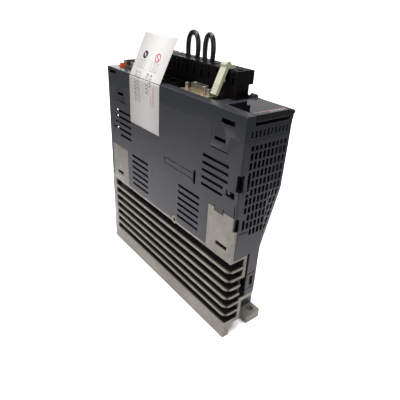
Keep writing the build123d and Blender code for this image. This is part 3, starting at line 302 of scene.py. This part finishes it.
def position_axes(tree):
    """The three coordinates of the shaded point in the part's own frame."""
    place = tree.nodes.new("ShaderNodeTexCoord")
    split = tree.nodes.new("ShaderNodeSeparateXYZ")
    tree.links.new(place.outputs["Object"], split.inputs["Vector"])
    return split.outputs["X"], split.outputs["Y"], split.outputs["Z"]


def magnitude(tree, value):
    node = tree.nodes.new("ShaderNodeMath")
    node.operation = "ABSOLUTE"
    tree.links.new(value, node.inputs[0])
    return node.outputs[0]


# places of the shell that bound the painted shade in its openings, in metres from the middle of its back
BOUND_FADE = 0.0002
SIDE_FROM_X = 0.001
SIDE_INNER = 0.01935        # just behind the outer face of the bare side
SIDE_REACH = 0.0740         # half length of the side's vented part
END_INNER = (0.0770, 0.08340)
END_FROM_X = -0.0073        # right of the screw recess


def inside(tree, value, low, high):
    """1 between two bounds and 0 outside them."""
    above = remap(tree, value, 0.0, 1.0, low - BOUND_FADE, low)
    below = remap(tree, value, 1.0, 0.0, high, high + BOUND_FADE)
    return multiply(tree, above, below)


def paint_slot_shade(tree, shade, side_top, end_low, end_top):
    """Painted shade: darken the walls of the openings in the bare side and the end faces, behind their
    outer faces.
    """
    x, y, z = position_axes(tree)
    across = magnitude(tree, y)
    side = multiply(tree, inside(tree, x, SIDE_FROM_X, SIDE_INNER), inside(tree, z, 0.0, side_top))
    side = multiply(tree, side, inside(tree, across, -BOUND_FADE, SIDE_REACH))
    ends = multiply(tree, inside(tree, x, END_FROM_X, SIDE_INNER), inside(tree, z, end_low, end_top))
    ends = multiply(tree, ends, inside(tree, across, *END_INNER))
    either = tree.nodes.new("ShaderNodeMath")
    either.operation = "MAXIMUM"
    tree.links.new(side, either.inputs[0])
    tree.links.new(ends, either.inputs[1])
    return blend_colours(tree, either.outputs[0], shade, PAINTED_SHADE_COLOUR)


# where the painted shade between the fins begins and is full, in metres
FIN_SHADE_X = (0.0182, 0.0197)
FIN_SHADE_Z = (0.0090, 0.0100)
FIN_SHADE_Y = (0.0830, 0.0839)
FIN_SHADE_DEPTH = 0.95


def paint_fin_shade(tree, shade):
    """Painted shade in the depths between the fins: darker inward from their outer edges and away from
    both ends.
    """
    x, y, z = position_axes(tree)
    inward = remap(tree, x, FIN_SHADE_DEPTH, 0.0, *FIN_SHADE_X)
    above_foot = remap(tree, z, 0.0, 1.0, *FIN_SHADE_Z)
    off_ends = remap(tree, magnitude(tree, y), 1.0, 0.0, *FIN_SHADE_Y)
    factor = multiply(tree, multiply(tree, inward, above_foot), off_ends)
    return blend_colours(tree, factor, shade, PAINTED_SHADE_COLOUR)


def cast_metal(name, colour, roughness, metallic, wear, wear_colour, mottle=0.2, grain=1500.0, bump=0.5):
    """Cast metal: mottled tone, pitted grain, bright worn edges and painted shade between the fins."""
    material, tree, shader = new_material(name)
    broad = add_noise(tree, CAST_UNEVEN_SCALE, 6.0)
    fine = add_noise(tree, CAST_SPECK_SCALE, 3.0)
    dark = tuple(c * (1 - mottle) for c in colour)
    light = tuple(min(1, c * (1 + mottle)) for c in colour)
    shade = blend_colours(tree, remap(tree, broad, 0.0, 1.0), dark, light)
    specks = tuple(c * SPECK_TONE for c in colour)
    shade = blend_colours(tree, remap(tree, fine, 0.0, SPECK_SHARE), shade, specks)
    patches = remap(tree, add_noise(tree, CAST_RUB_SCALE, 5.0), 0.1, wear, *PATCH_BAND)
    rub = multiply(tree, edge_mask(tree, CAST_RUB_WIDTH), patches)
    # painted shade in the depths between the fins
    shade = paint_fin_shade(tree, blend_colours(tree, rub, shade, wear_colour))
    tree.links.new(shade, shader.inputs["Base Color"])
    shader.inputs["Metallic"].default_value = metallic
    gloss = remap(tree, add_noise(tree, CAST_GLOSS_SCALE, 5.0), roughness * 0.8, roughness * 1.2)
    tree.links.new(gloss, shader.inputs["Roughness"])
    add_bump(tree, shader, add_noise(tree, grain, 4.0), bump, CAST_GRAIN_DEPTH)
    return material


def brushed_metal(name, colour, roughness, stretch=(40.0, 900.0, 900.0), bump=0.12):
    """Sheet metal with fine drawn lines."""
    material, tree, shader = new_material(name)
    lines = add_noise(tree, DRAWN_SCALE, 3.0, stretch)
    dark = tuple(c * 0.86 for c in colour)
    shade = blend_colours(tree, remap(tree, lines, 0.0, 1.0), dark, colour)
    tree.links.new(shade, shader.inputs["Base Color"])
    shader.inputs["Metallic"].default_value = 1.0
    tree.links.new(remap(tree, lines, roughness * 0.8, roughness * 1.25), shader.inputs["Roughness"])
    add_bump(tree, shader, lines, bump, DRAWN_DEPTH)
    return material


def paper(name, colour):
    """Uncoated paper: fibre grain and faint cockle."""
    material, tree, shader = new_material(name)
    fibre = add_noise(tree, FIBRE_SCALE, 6.0, (1.0, 1.0, 0.5))
    dark = tuple(c * 0.96 for c in colour)
    shade = blend_colours(tree, remap(tree, fibre, 0.0, 1.0), dark, colour)
    tree.links.new(shade, shader.inputs["Base Color"])
    tree.links.new(remap(tree, fibre, 0.6, 0.75), shader.inputs["Roughness"])
    shader.inputs["Specular IOR Level"].default_value = 0.3
    add_bump(tree, shader, fibre, 0.2, PLASTIC_GRAIN_DEPTH)
    return material


# the case and the cover get painted shade in their openings; the last three numbers bound it: side top,
# end low, end top, in metres
CASE = plastic(
    "case_plastic", (0.045, 0.047, 0.056), 0.32, mottle=0.06, wear=0.5, wear_colour=(0.15, 0.155, 0.165),
    specular=0.18, painted_slot_shade=(0.1600, 0.0720, 0.1570))
COVER = plastic(
    "cover_plastic", (0.033, 0.035, 0.043), 0.22, mottle=0.06, wear=0.7, wear_colour=(0.26, 0.262, 0.27),
    specular=0.24, painted_slot_shade=(0.1660, 0.1400, 0.1655))
LID = plastic("lid_smoked", (0.0025, 0.0025, 0.003), 0.045, mottle=0.05, grain=900.0, bump=0.01)
BLACK = plastic("black_plastic", (0.004, 0.004, 0.0045), 0.42, specular=0.18)
PLUG = plastic(
    "connector_black", (0.0022, 0.0022, 0.0026), 0.38, wear=0.3, wear_colour=(0.03, 0.03, 0.032),
    specular=0.16)
WIRE = plastic("wire_insulation", (0.005, 0.005, 0.0055), 0.28, grain=1200.0, bump=0.1)
IVORY = plastic("lever_ivory", (0.52, 0.53, 0.40), 0.42, mottle=0.05)
ORANGE = plastic("orange_plastic", (0.72, 0.10, 0.012), 0.38, mottle=0.06)
WHITE = plastic("white_plastic", (0.50, 0.50, 0.48), 0.45, mottle=0.04)
GREY = plastic("grey_plastic", (0.20, 0.205, 0.21), 0.5)
LAMP = plastic("lamp_red", (0.45, 0.02, 0.02), 0.15, mottle=0.05, bump=0.03)
GLOW = plastic("display_segment", (0.16, 0.02, 0.018), 0.3, mottle=0.05)
LAMINATE = plastic("board_laminate", (0.002, 0.009, 0.006), 0.40, mottle=0.3, grain=700.0, specular=0.2)
EPOXY = plastic("module_black", (0.010, 0.010, 0.011), 0.5, specular=0.3)
SLEEVE = plastic("can_sleeve", (0.012, 0.012, 0.024), 0.25)
FERRITE = plastic("ferrite_tape", (0.09, 0.065, 0.025), 0.5, mottle=0.3)
FILM = plastic("label_film", (0.30, 0.305, 0.31), 0.35, mottle=0.03, bump=0.05)
SINK = cast_metal(
    "heat_sink", (0.262, 0.240, 0.208), 0.50, metallic=0.35, wear=0.6, wear_colour=(0.46, 0.44, 0.41))
PLATED = brushed_metal("plated_steel", (0.62, 0.58, 0.53), 0.34, bump=0.03)
GOLDEN = brushed_metal("passivated_plate", (0.60, 0.49, 0.32), 0.40, bump=0.03)
SCREW = brushed_metal("screw_steel", (0.58, 0.58, 0.58), 0.32)
CONTACT = brushed_metal("contact_metal", (0.70, 0.60, 0.38), 0.30)
PAPER = paper("paper_tag", (0.70, 0.685, 0.675))
INK = plastic("tag_ink", (0.010, 0.010, 0.011), 0.6, mottle=0.3, specular=0.2)
RED_INK = plastic("tag_red_ink", (0.60, 0.040, 0.055), 0.6, mottle=0.2, specular=0.2)
PALE_RED_INK = plastic("tag_pale_red_ink", (0.66, 0.30, 0.30), 0.6, mottle=0.2, specular=0.2)
GREY_INK = plastic("tag_grey_ink", (0.22, 0.22, 0.23), 0.6, mottle=0.2, specular=0.2)


# ---- pieces made from CAD nodes -----------------------------------------------------------------
MERGE_WITHIN = 2e-6         # metres
FLAT_WITHIN = math.radians(0.6)


def drop_split_points(mesh):
    """Join the faces' shared points and drop the needless edges of flat areas."""
    work = bmesh.new()
    work.from_mesh(mesh)
    bmesh.ops.remove_doubles(work, verts=work.verts, dist=MERGE_WITHIN)
    bmesh.ops.dissolve_limit(work, angle_limit=FLAT_WITHIN, verts=work.verts, edges=work.edges)
    bmesh.ops.triangulate(work, faces=work.faces, quad_method="BEAUTY", ngon_method="BEAUTY")
    work.to_mesh(mesh)
    work.free()


SHARP_ANGLE = math.radians(32)
ROOM_FACTOR = 2.4          # a rounding needs this many times its width beside it


def weigh_edges(mesh, width):
    """Mark the sharp edges that have room to be rounded; the tight ones stay crisp."""
    work = bmesh.new()
    work.from_mesh(mesh)
    layer = work.edges.layers.float.new("bevel_weight_edge")
    room = {v: min((e.calc_length() for e in v.link_edges), default=0) for v in work.verts}
    for edge in work.edges:
        if len(edge.link_faces) != 2 or edge.calc_face_angle(0) < SHARP_ANGLE:
            continue
        if min(room[v] for v in edge.verts) > ROOM_FACTOR * width:
            edge[layer] = 1.0
        else:
            edge.smooth = False
    work.to_mesh(mesh)
    work.free()


def body_of(node):
    return frame["nodes"][node]["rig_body"]


BEVEL_SEGMENTS = 2
FACE_WEIGHT = 100           # flat faces keep their own normals beside the rounded edges


def softened(node, material, width):
    """A copy of a CAD node with small rounded edges, which stands for it."""
    mesh = frame["nodes"][node].data.copy()
    mesh.name = node + "_skin"
    drop_split_points(mesh)
    mesh.materials.clear()
    mesh.materials.append(material)
    mesh.shade_smooth()
    weigh_edges(mesh, width * MM)
    piece = bpy.data.objects.new(node + "_skin", mesh)
    scene.collection.objects.link(piece)
    bevel = piece.modifiers.new("edges", "BEVEL")
    bevel.width = width * MM
    bevel.segments = BEVEL_SEGMENTS
    bevel.limit_method = "WEIGHT"
    bevel.use_clamp_overlap = False
    normals = piece.modifiers.new("normals", "WEIGHTED_NORMAL")
    normals.weight = FACE_WEIGHT
    normals.keep_sharp = True
    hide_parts(node)
    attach(piece, body_of(node))


def painted(node, material):
    """A CAD node shown as it is, with a material."""
    mesh = frame["nodes"][node].data
    mesh.materials.clear()
    mesh.materials.append(material)


SOFTENED = {
    "heat_sink": (SINK, "heat_sink", 0.30),
    "main_case": (CASE, "case_plastic", 0.20),
    "top_foot_cover": (CASE, "case_plastic", 0.20),
    "bottom_foot_cover": (CASE, "case_plastic", 0.20),
    "front_cover": (COVER, "cover_plastic", 0.18),
    "display_lid": (LID, "lid_smoked", 0.25),
    "lid_hinge_pins": (BLACK, "black_plastic", 0.12),
    "line_power_plug": (PLUG, "connector_black", 0.15),
    "control_power_plug": (PLUG, "connector_black", 0.15),
    "motor_power_plug": (PLUG, "connector_black", 0.15),
    "opening_lever": (IVORY, "lever_ivory", 0.15),
    "connector_deck": (BLACK, "black_plastic", 0.10),
    "ground_plate": (GOLDEN, "passivated_plate", 0.10),
    "jack_posts": (PLATED, "plated_steel", 0.12),
    "network_sockets": (PLUG, "connector_black", 0.15),
    "safety_plug": (ORANGE, "orange_plastic", 0.15),
    "encoder_connector_insert": (PLUG, "connector_black", 0.12),
    "earth_screw": (SCREW, "screw_steel", 0.12),
}
PAINTED = {
    "seven_segment_display": EPOXY, "rotary_switch_body": PLUG, "rotary_switch_rotor": WHITE,
    "dip_switch_body": PLUG, "charge_lamp": LAMP, "power_board": LAMINATE, "control_board": LAMINATE,
    "board_standoffs": SCREW, "power_board_screws": SCREW, "control_board_screws": SCREW,
    "power_module": EPOXY, "rectifier_bridge": EPOXY, "module_screws": SCREW, "bus_capacitors": SLEEVE,
    "inrush_relay": GREY, "supply_transformer": FERRITE, "current_sensors": EPOXY,
    "board_link_connector": WHITE, "control_chips": EPOXY, "signal_connector_shell": PLATED,
    "signal_connector_insert": PLUG, "usb_socket": PLATED, "encoder_connector_shell": PLATED,
    "safety_socket": PLUG, "rating_label": FILM,
}
for circuit in ("line_power", "control_power", "motor_power"):
    PAINTED[circuit + "_header"] = BLACK
    PAINTED[circuit + "_header_pins"] = CONTACT
    PAINTED[circuit + "_plug_contacts"] = CONTACT
for slider in range(1, 5):
    PAINTED[f"dip_slider_{slider}"] = WHITE
for node, (material, slot, width) in SOFTENED.items():
    softened(node, material, width)
for node, material in PAINTED.items():
    painted(node, material)
for wire in (long_wire, short_wire):
    wire.data.materials.append(WIRE)

# ---- paper tag ----------------------------------------------------------------------------------
TAG_Y = (-46.0, -4.0)
TAG_T = 0.18
TAG_LOW_Z = 132.0
TAG_LENGTH = 71.5
TAG_SIDE_X = 20.17
TAG_FOLD_Z = 168.0
TAG_FOLD_R = 2.6
TAG_LEAN = math.radians(25.9)
TAG_STEPS = 96


def tag_line(s):
    """Point and outward normal of the tag at distance s from its lower end, in the XZ plane."""
    straight = TAG_FOLD_Z - TAG_LOW_Z
    bend = TAG_FOLD_R * TAG_LEAN
    if s <= straight:
        return Vector((TAG_SIDE_X, 0, TAG_LOW_Z + s)), Vector((1, 0, 0))
    turned = min(s - straight, bend) / TAG_FOLD_R
    centre = Vector((TAG_SIDE_X - TAG_FOLD_R, 0, TAG_FOLD_Z))
    normal = Vector((math.cos(turned), 0, math.sin(turned)))
    point = centre + normal * TAG_FOLD_R
    rest = s - straight - bend
    if rest > 0:
        point += Vector((-math.sin(turned), 0, math.cos(turned))) * rest
    return point, normal


def on_tag(u, s, lift):
    """Point of the tag, u along its width from its top end side, s along its length."""
    point, normal = tag_line(s)
    point = point + normal * lift
    return Vector((point.x, TAG_Y[1] - u, point.z)) * MM


def paper_strip(name, width):
    """The tag's folded sheet, from its lower end to its upper one."""
    work = bmesh.new()
    rows = []
    for i in range(TAG_STEPS + 1):
        s = TAG_LENGTH * i / TAG_STEPS
        rows.append([work.verts.new(on_tag(u, s, TAG_T / 2)) for u in (0.0, width)])
    for low, high in zip(rows, rows[1:]):
        work.faces.new((low[0], low[1], high[1], high[0]))
    mesh = bpy.data.meshes.new(name)
    work.to_mesh(mesh)
    work.free()
    mesh.materials.append(PAPER)
    mesh.shade_smooth()
    piece = bpy.data.objects.new(name, mesh)
    scene.collection.objects.link(piece)
    solid = piece.modifiers.new("thickness", "SOLIDIFY")
    solid.thickness = TAG_T * MM
    solid.offset = 0
    return piece


tag_width = TAG_Y[1] - TAG_Y[0]
tag = paper_strip("warning_tag_paper", tag_width)
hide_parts("warning_tag")
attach(tag, "housing")


# ---- printed marks: plain shapes and greeked lines, no lettering ---------------------------------
INK_LIFT = 0.03             # ink lies this far above its paper
STROKE_HALF = 0.1           # half width of a greeked stroke


def print_piece(name, material, body, quads):
    """One thin piece of ink from many four-cornered marks."""
    work = bmesh.new()
    for corners in quads:
        work.faces.new([work.verts.new(corner) for corner in corners])
    bmesh.ops.recalc_face_normals(work, faces=work.faces)
    mesh = bpy.data.meshes.new(name)
    work.to_mesh(mesh)
    work.free()
    mesh.materials.append(material)
    piece = bpy.data.objects.new(name, mesh)
    scene.collection.objects.link(piece)
    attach(piece, body)


def tag_mark(u0, u1, s0, s1):
    """Four corners of ink on the tag."""
    lift = TAG_T + INK_LIFT
    return [on_tag(u0, s0, lift), on_tag(u1, s0, lift), on_tag(u1, s1, lift), on_tag(u0, s1, lift)]


RING_STEPS = 48


def tag_ring(centre, inner, outer):
    """Ring, or a disc when inner is zero, on the tag."""
    lift = TAG_T + INK_LIFT
    marks = []
    for i in range(RING_STEPS):
        ring = []
        for radius, turn in ((inner, i), (outer, i), (outer, i + 1), (inner, i + 1)):
            angle = math.tau * turn / RING_STEPS
            u = centre[0] + max(radius, 0.01) * math.cos(angle)
            s = centre[1] + max(radius, 0.01) * math.sin(angle)
            ring.append(on_tag(u, s, lift))
        marks.append(ring)
    return marks


def tag_bar(centre, length, thickness, angle, lift):
    """Straight bar across a point of the tag."""
    along = Vector((math.cos(angle), math.sin(angle))) * length / 2
    across = Vector((-math.sin(angle), math.cos(angle))) * thickness / 2
    middle = Vector(centre)
    corners = [
        middle - along - across, middle + along - across, middle + along + across, middle - along + across]
    return [on_tag(c.x, c.y, lift) for c in corners]


def tag_outline(u0, u1, s0, s1, line):
    """Four thin bars round a box."""
    return [
        tag_mark(u0, u1, s0, s0 + line), tag_mark(u0, u1, s1 - line, s1),
        tag_mark(u0, u0 + line, s0, s1), tag_mark(u1 - line, u1, s0, s1)]


def greeked_column(u, s0, s1, tall, pitch, strokes, slant):
    """A column of illegible marks: each is a few strokes in a small square."""
    marks = []
    s = s1
    while s - tall > s0:
        for _ in range(strokes):
            du = random.uniform(-0.5, 0.5) * tall
            ds = random.uniform(0.1, 0.9) * tall
            shift = slant * (s1 - s)
            if random.random() < 0.5:
                low = u + du * 0.4 - 0.45 * tall + shift
                high = u + du * 0.4 + 0.45 * tall + shift
                marks.append(tag_mark(low, high, s - ds - STROKE_HALF, s - ds + STROKE_HALF))
            else:
                low = u + du - STROKE_HALF + shift
                high = u + du + STROKE_HALF + shift
                marks.append(tag_mark(low, high, s - tall * 0.9, s - tall * 0.1))
        s -= pitch
    return marks


DISC = (30.7, 55.1)         # centre of the black sign
DISC_R = 3.0
RING = (14.0, 54.9)         # centre of the red sign
RING_R = (2.5, 3.3)
# bars on the signs: length, thickness and angle in radians
RING_BAR = (5.4, 0.75, 0.75)
DISC_BAR = (2.6, 0.8, 0.9)
DISC_BAR_SHIFT = (0.5, 0.6)
DISC_CROSS_BAR = (2.0, 0.7, -0.5)
BOX_LINE = 0.3
BOXES = ((26.7, 36.6, 44.7, 51.0), (9.4, 19.0, 44.4, 51.0))
BOX_LINES = ((28.0, 35.4, 46.0, 49.8), (10.6, 17.8, 45.8, 49.6))
LINES_IN_BOX = 4
BOX_LINE_HALF = 0.14
# ink, place across, lowest and highest place along, height and pitch of a mark, strokes in it, slant
COLUMNS = (
    ("black", 34.0, 18.5, 42.6, 2.3, 2.6, 5, -0.06),
    ("black", 18.9, 25.5, 43.0, 2.3, 2.6, 6, -0.12),
    ("black", 13.4, 31.8, 42.6, 2.1, 2.4, 6, -0.12),
    ("grey", 30.8, 18.8, 42.4, 2.0, 2.3, 5, -0.06),
    ("grey", 28.0, 18.8, 42.0, 2.0, 2.3, 5, -0.06),
    ("grey", 16.0, 26.5, 42.0, 1.8, 2.1, 4, -0.10),
    ("grey", 11.0, 18.8, 27.0, 1.5, 1.8, 4, 0.0),
    ("red", 8.0, 20.0, 34.4, 1.5, 1.8, 6, 0.0),
    ("pale_red", 22.0, 21.0, 40.0, 1.4, 1.6, 4, 0.0),
    ("pale_red", 38.0, 34.0, 40.0, 1.4, 1.6, 3, 0.0),
)
marks = {
    "black": tag_ring(DISC, 0.0, DISC_R), "red": tag_ring(RING, *RING_R), "grey": [], "pale_red": []}
marks["red"].append(tag_bar(RING, *RING_BAR, TAG_T + INK_LIFT))
marks["white"] = []
for side in (1, -1):
    centre = (DISC[0] + side * DISC_BAR_SHIFT[0], DISC[1] + side * DISC_BAR_SHIFT[1])
    marks["white"].append(tag_bar(centre, *DISC_BAR, TAG_T + 2 * INK_LIFT))
marks["white"].append(tag_bar(DISC, *DISC_CROSS_BAR, TAG_T + 2 * INK_LIFT))
for box in BOXES:
    marks["grey"] += tag_outline(*box, BOX_LINE)
for u0, u1, s0, s1 in BOX_LINES:
    for i in range(LINES_IN_BOX):
        s = s0 + (s1 - s0) * i / (LINES_IN_BOX - 1)
        low = u0 + random.uniform(0, 2)
        high = u1 - random.uniform(0, 3)
        marks["grey"].append(tag_mark(low, high, s - BOX_LINE_HALF, s + BOX_LINE_HALF))
for ink, *column in COLUMNS:
    marks[ink] += greeked_column(*column)
print_piece("tag_black_print", INK, "housing", marks["black"])
print_piece("tag_white_print", PAPER, "housing", marks["white"])
print_piece("tag_red_print", RED_INK, "housing", marks["red"])
print_piece("tag_pale_red_print", PALE_RED_INK, "housing", marks["pale_red"])
print_piece("tag_grey_print", GREY_INK, "housing", marks["grey"])

LID_TOP_Z = 170.0
LID_LINE_Y = 79.8
LID_LINE_X = (-15.8, 11.4)
LID_LINE_HALF = 0.18
LID_DASHES_X = (-14.5, -1.5)
LID_DASH_GAP = 0.4
LID_DASH_ROWS = ((80.9, 81.3, 1.0), (81.8, 82.2, 0.7))     # both edges, and share of the upper dash
LABEL_X = -20.12
LABEL_ROWS = 15
LABEL_TOP_Z = 146.5
LABEL_PITCH = 3.4
LABEL_RULES = (0, 5, 10)    # rows that are a thin rule
LABEL_HALF_WIDTH = 16.0
BAR_HALF = 0.5              # half height of a grey bar
RULE_HALF = 0.15
RULE_HALF_WIDTH = 16.5


def lid_mark(x0, x1, y0, y1):
    """Four corners of ink on the lid's outer face."""
    z = LID_TOP_Z + INK_LIFT
    return [Vector(c) * MM for c in ((x0, y0, z), (x1, y0, z), (x1, y1, z), (x0, y1, z))]


def label_mark(y0, y1, z0, z1):
    """Four corners of ink on the rating label."""
    x = LABEL_X - INK_LIFT
    return [Vector(c) * MM for c in ((x, y0, z0), (x, y1, z0), (x, y1, z1), (x, y0, z1))]


lid_line = lid_mark(*LID_LINE_X, LID_LINE_Y - LID_LINE_HALF, LID_LINE_Y + LID_LINE_HALF)
print_piece("lid_red_line", PALE_RED_INK, "display_lid", [lid_line])
lid_dashes = []
x = LID_DASHES_X[0]
while x < LID_DASHES_X[1]:
    long = random.uniform(0.5, 1.3)
    for y0, y1, share in LID_DASH_ROWS:
        lid_dashes.append(lid_mark(x, x + long * share, y0, y1))
    x += long + LID_DASH_GAP
print_piece("lid_greeked_print", WHITE, "display_lid", lid_dashes)

label_marks = []
for row in range(LABEL_ROWS):
    z = LABEL_TOP_Z - row * LABEL_PITCH
    if row in LABEL_RULES:
        label_marks.append(label_mark(-RULE_HALF_WIDTH, RULE_HALF_WIDTH, z - RULE_HALF, z + RULE_HALF))
        continue
    y = -LABEL_HALF_WIDTH
    while y < LABEL_HALF_WIDTH - 2.0:
        long = random.uniform(1.5, 5.0)
        label_marks.append(label_mark(y, min(y + long, LABEL_HALF_WIDTH), z - BAR_HALF, z + BAR_HALF))
        y += long + random.uniform(0.8, 3.0)
print_piece("label_greeked_print", GREY_INK, "housing", label_marks)

# ---- segments of the display, under the lid ------------------------------------------------------
FIRST_DIGIT_X = -11.4
DIGIT_PITCH = 5.2
DIGITS = 3
SEGMENT_Z = 167.32
SEGMENT_LONG = 3.0
SEGMENT_HALF = 0.28
ACROSS_Y = (70.4, 73.9, 77.4)       # the three segments across a digit
UPRIGHT_Y = (70.9, 74.4)            # where its upright ones begin
UPRIGHT_X = (-0.48, 3.12)           # to the left and right of the ones across
UPRIGHT_LONG = 2.6
UPRIGHT_THICK = 0.46
segment_marks = []
for digit in range(DIGITS):
    x0 = FIRST_DIGIT_X + digit * DIGIT_PITCH
    boxes = [(x0, x0 + SEGMENT_LONG, y - SEGMENT_HALF, y + SEGMENT_HALF) for y in ACROSS_Y]
    for y in UPRIGHT_Y:
        boxes += [(x0 + dx, x0 + dx + UPRIGHT_THICK, y, y + UPRIGHT_LONG) for dx in UPRIGHT_X]
    for left, right, low_y, high_y in boxes:
        corners = ((left, low_y), (right, low_y), (right, high_y), (left, high_y))
        segment_marks.append([Vector((a, b, SEGMENT_Z)) * MM for a, b in corners])
print_piece("display_segments", GLOW, "housing", segment_marks)


# ---- stage ---------------------------------------------------------------------------------------
AIM = Vector((0, 0, 0.09))
FLOOR_HALF = 60.0
FLOOR_Z = -0.0003
FLOOR_COLOUR = (0.9, 0.9, 0.9)
MIRROR_FADE = (0.14, 0.50)          # the object mirrors the floor less and less this far out, in metres
MIRROR_LOSS = 0.88
WORLD_HEIGHTS = (-0.3, 0.9)         # upward parts of a direction, with the strengths below at them
WORLD_STRENGTHS = (0.05, 0.30)
WARM = (1.0, 0.985, 0.96)
FLOOR_LIGHT_POWER = 3.2
FLOOR_LIGHT_SPREAD = math.radians(60)
# name, place and size in metres, power in watts, colour, aim
LIGHTS = (
    ("key", (1.05, -0.30, 0.80), (0.8, 0.8), 8.0, WARM, AIM),
    ("overhead", (0.05, 0.05, 1.3), (0.9, 0.9), 22.0, (1.0, 0.985, 0.965), AIM),
    ("end_fill", (0.45, 1.35, 0.55), (0.8, 0.8), 5.0, (0.95, 0.97, 1.0), AIM),
    ("back", (-0.85, -1.01, 0.8), (1.4, 0.8), 1.6, (1, 1, 1), AIM),
    ("low_back", (-0.45, -1.30, 0.40), (1.1, 0.5), 2.6, WARM, AIM),
    ("bounce", (0.30, -0.02, 0.004), (0.12, 0.50), 0.10, WARM, (0.02, 0.0, 0.10)),
)


def add_floor():
    """Pale floor, lit by its own light; the object mirrors it nearby but gets no stray light from it."""
    mesh = bpy.data.meshes.new("floor")
    corners = [(-1, -1), (1, -1), (1, 1), (-1, 1)]
    mesh.from_pydata([(x * FLOOR_HALF, y * FLOOR_HALF, FLOOR_Z) for x, y in corners], [], [(0, 1, 2, 3)])
    material, tree, shader = new_material("floor")
    place = tree.nodes.new("ShaderNodeTexCoord")
    distance = tree.nodes.new("ShaderNodeVectorMath")
    distance.operation = "LENGTH"
    tree.links.new(place.outputs["Object"], distance.inputs[0])
    fade = remap(tree, distance.outputs["Value"], 0.0, MIRROR_LOSS, *MIRROR_FADE)
    ray = tree.nodes.new("ShaderNodeLightPath")
    mirrored = multiply(tree, ray.outputs["Is Glossy Ray"], fade)
    colour = blend_colours(tree, mirrored, FLOOR_COLOUR, (0.0, 0.0, 0.0))
    tree.links.new(colour, shader.inputs["Base Color"])
    shader.inputs["Roughness"].default_value = 0.9
    shader.inputs["Specular IOR Level"].default_value = 0.1
    mesh.materials.append(material)
    floor = bpy.data.objects.new("floor", mesh)
    scene.collection.objects.link(floor)
    floor.visible_diffuse = False
    floor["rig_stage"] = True
    return floor


def area_light(name, place, size, power, colour, aim):
    """Rectangular lamp, unseen by the camera."""
    data = bpy.data.lights.new(name, "AREA")
    data.shape = "RECTANGLE"
    data.size, data.size_y = size
    data.energy = power
    data.color = colour
    light = bpy.data.objects.new(name, data)
    scene.collection.objects.link(light)
    light.location = place
    light.rotation_mode = "QUATERNION"
    light.rotation_quaternion = (Vector(place) - Vector(aim)).to_track_quat("Z", "Y")
    light.visible_camera = False


def add_floor_light(floor):
    """Wide overhead light that only the floor receives."""
    data = bpy.data.lights.new("floor_light", "SUN")
    data.energy = FLOOR_LIGHT_POWER
    data.angle = FLOOR_LIGHT_SPREAD
    light = bpy.data.objects.new("floor_light", data)
    scene.collection.objects.link(light)
    light.location = (0, 0, 2)
    lit = bpy.data.collections.new("lit_by_floor_light")
    lit.objects.link(floor)
    light.light_linking.receiver_collection = lit


def add_world():
    """Soft surroundings, brighter above than below; the camera sees plain white."""
    world = bpy.data.worlds.new("studio")
    scene.world = world
    world.use_nodes = True
    tree = world.node_tree
    tree.nodes.clear()
    output = tree.nodes.new("ShaderNodeOutputWorld")
    light = tree.nodes.new("ShaderNodeBackground")
    place = tree.nodes.new("ShaderNodeTexCoord")
    split = tree.nodes.new("ShaderNodeSeparateXYZ")
    tree.links.new(place.outputs["Generated"], split.inputs["Vector"])
    strength = remap(tree, split.outputs["Z"], *WORLD_STRENGTHS, *WORLD_HEIGHTS)
    tree.links.new(strength, light.inputs["Strength"])
    seen = tree.nodes.new("ShaderNodeBackground")
    seen.inputs["Color"].default_value = (1, 1, 1, 1)
    ray = tree.nodes.new("ShaderNodeLightPath")
    mix = tree.nodes.new("ShaderNodeMixShader")
    tree.links.new(ray.outputs["Is Camera Ray"], mix.inputs[0])
    tree.links.new(light.outputs[0], mix.inputs[1])
    tree.links.new(seen.outputs[0], mix.inputs[2])
    tree.links.new(mix.outputs[0], output.inputs["Surface"])


add_floor_light(add_floor())
add_world()
for light in LIGHTS:
    area_light(*light)
scene.view_settings.view_transform = "Standard"

low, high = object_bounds()
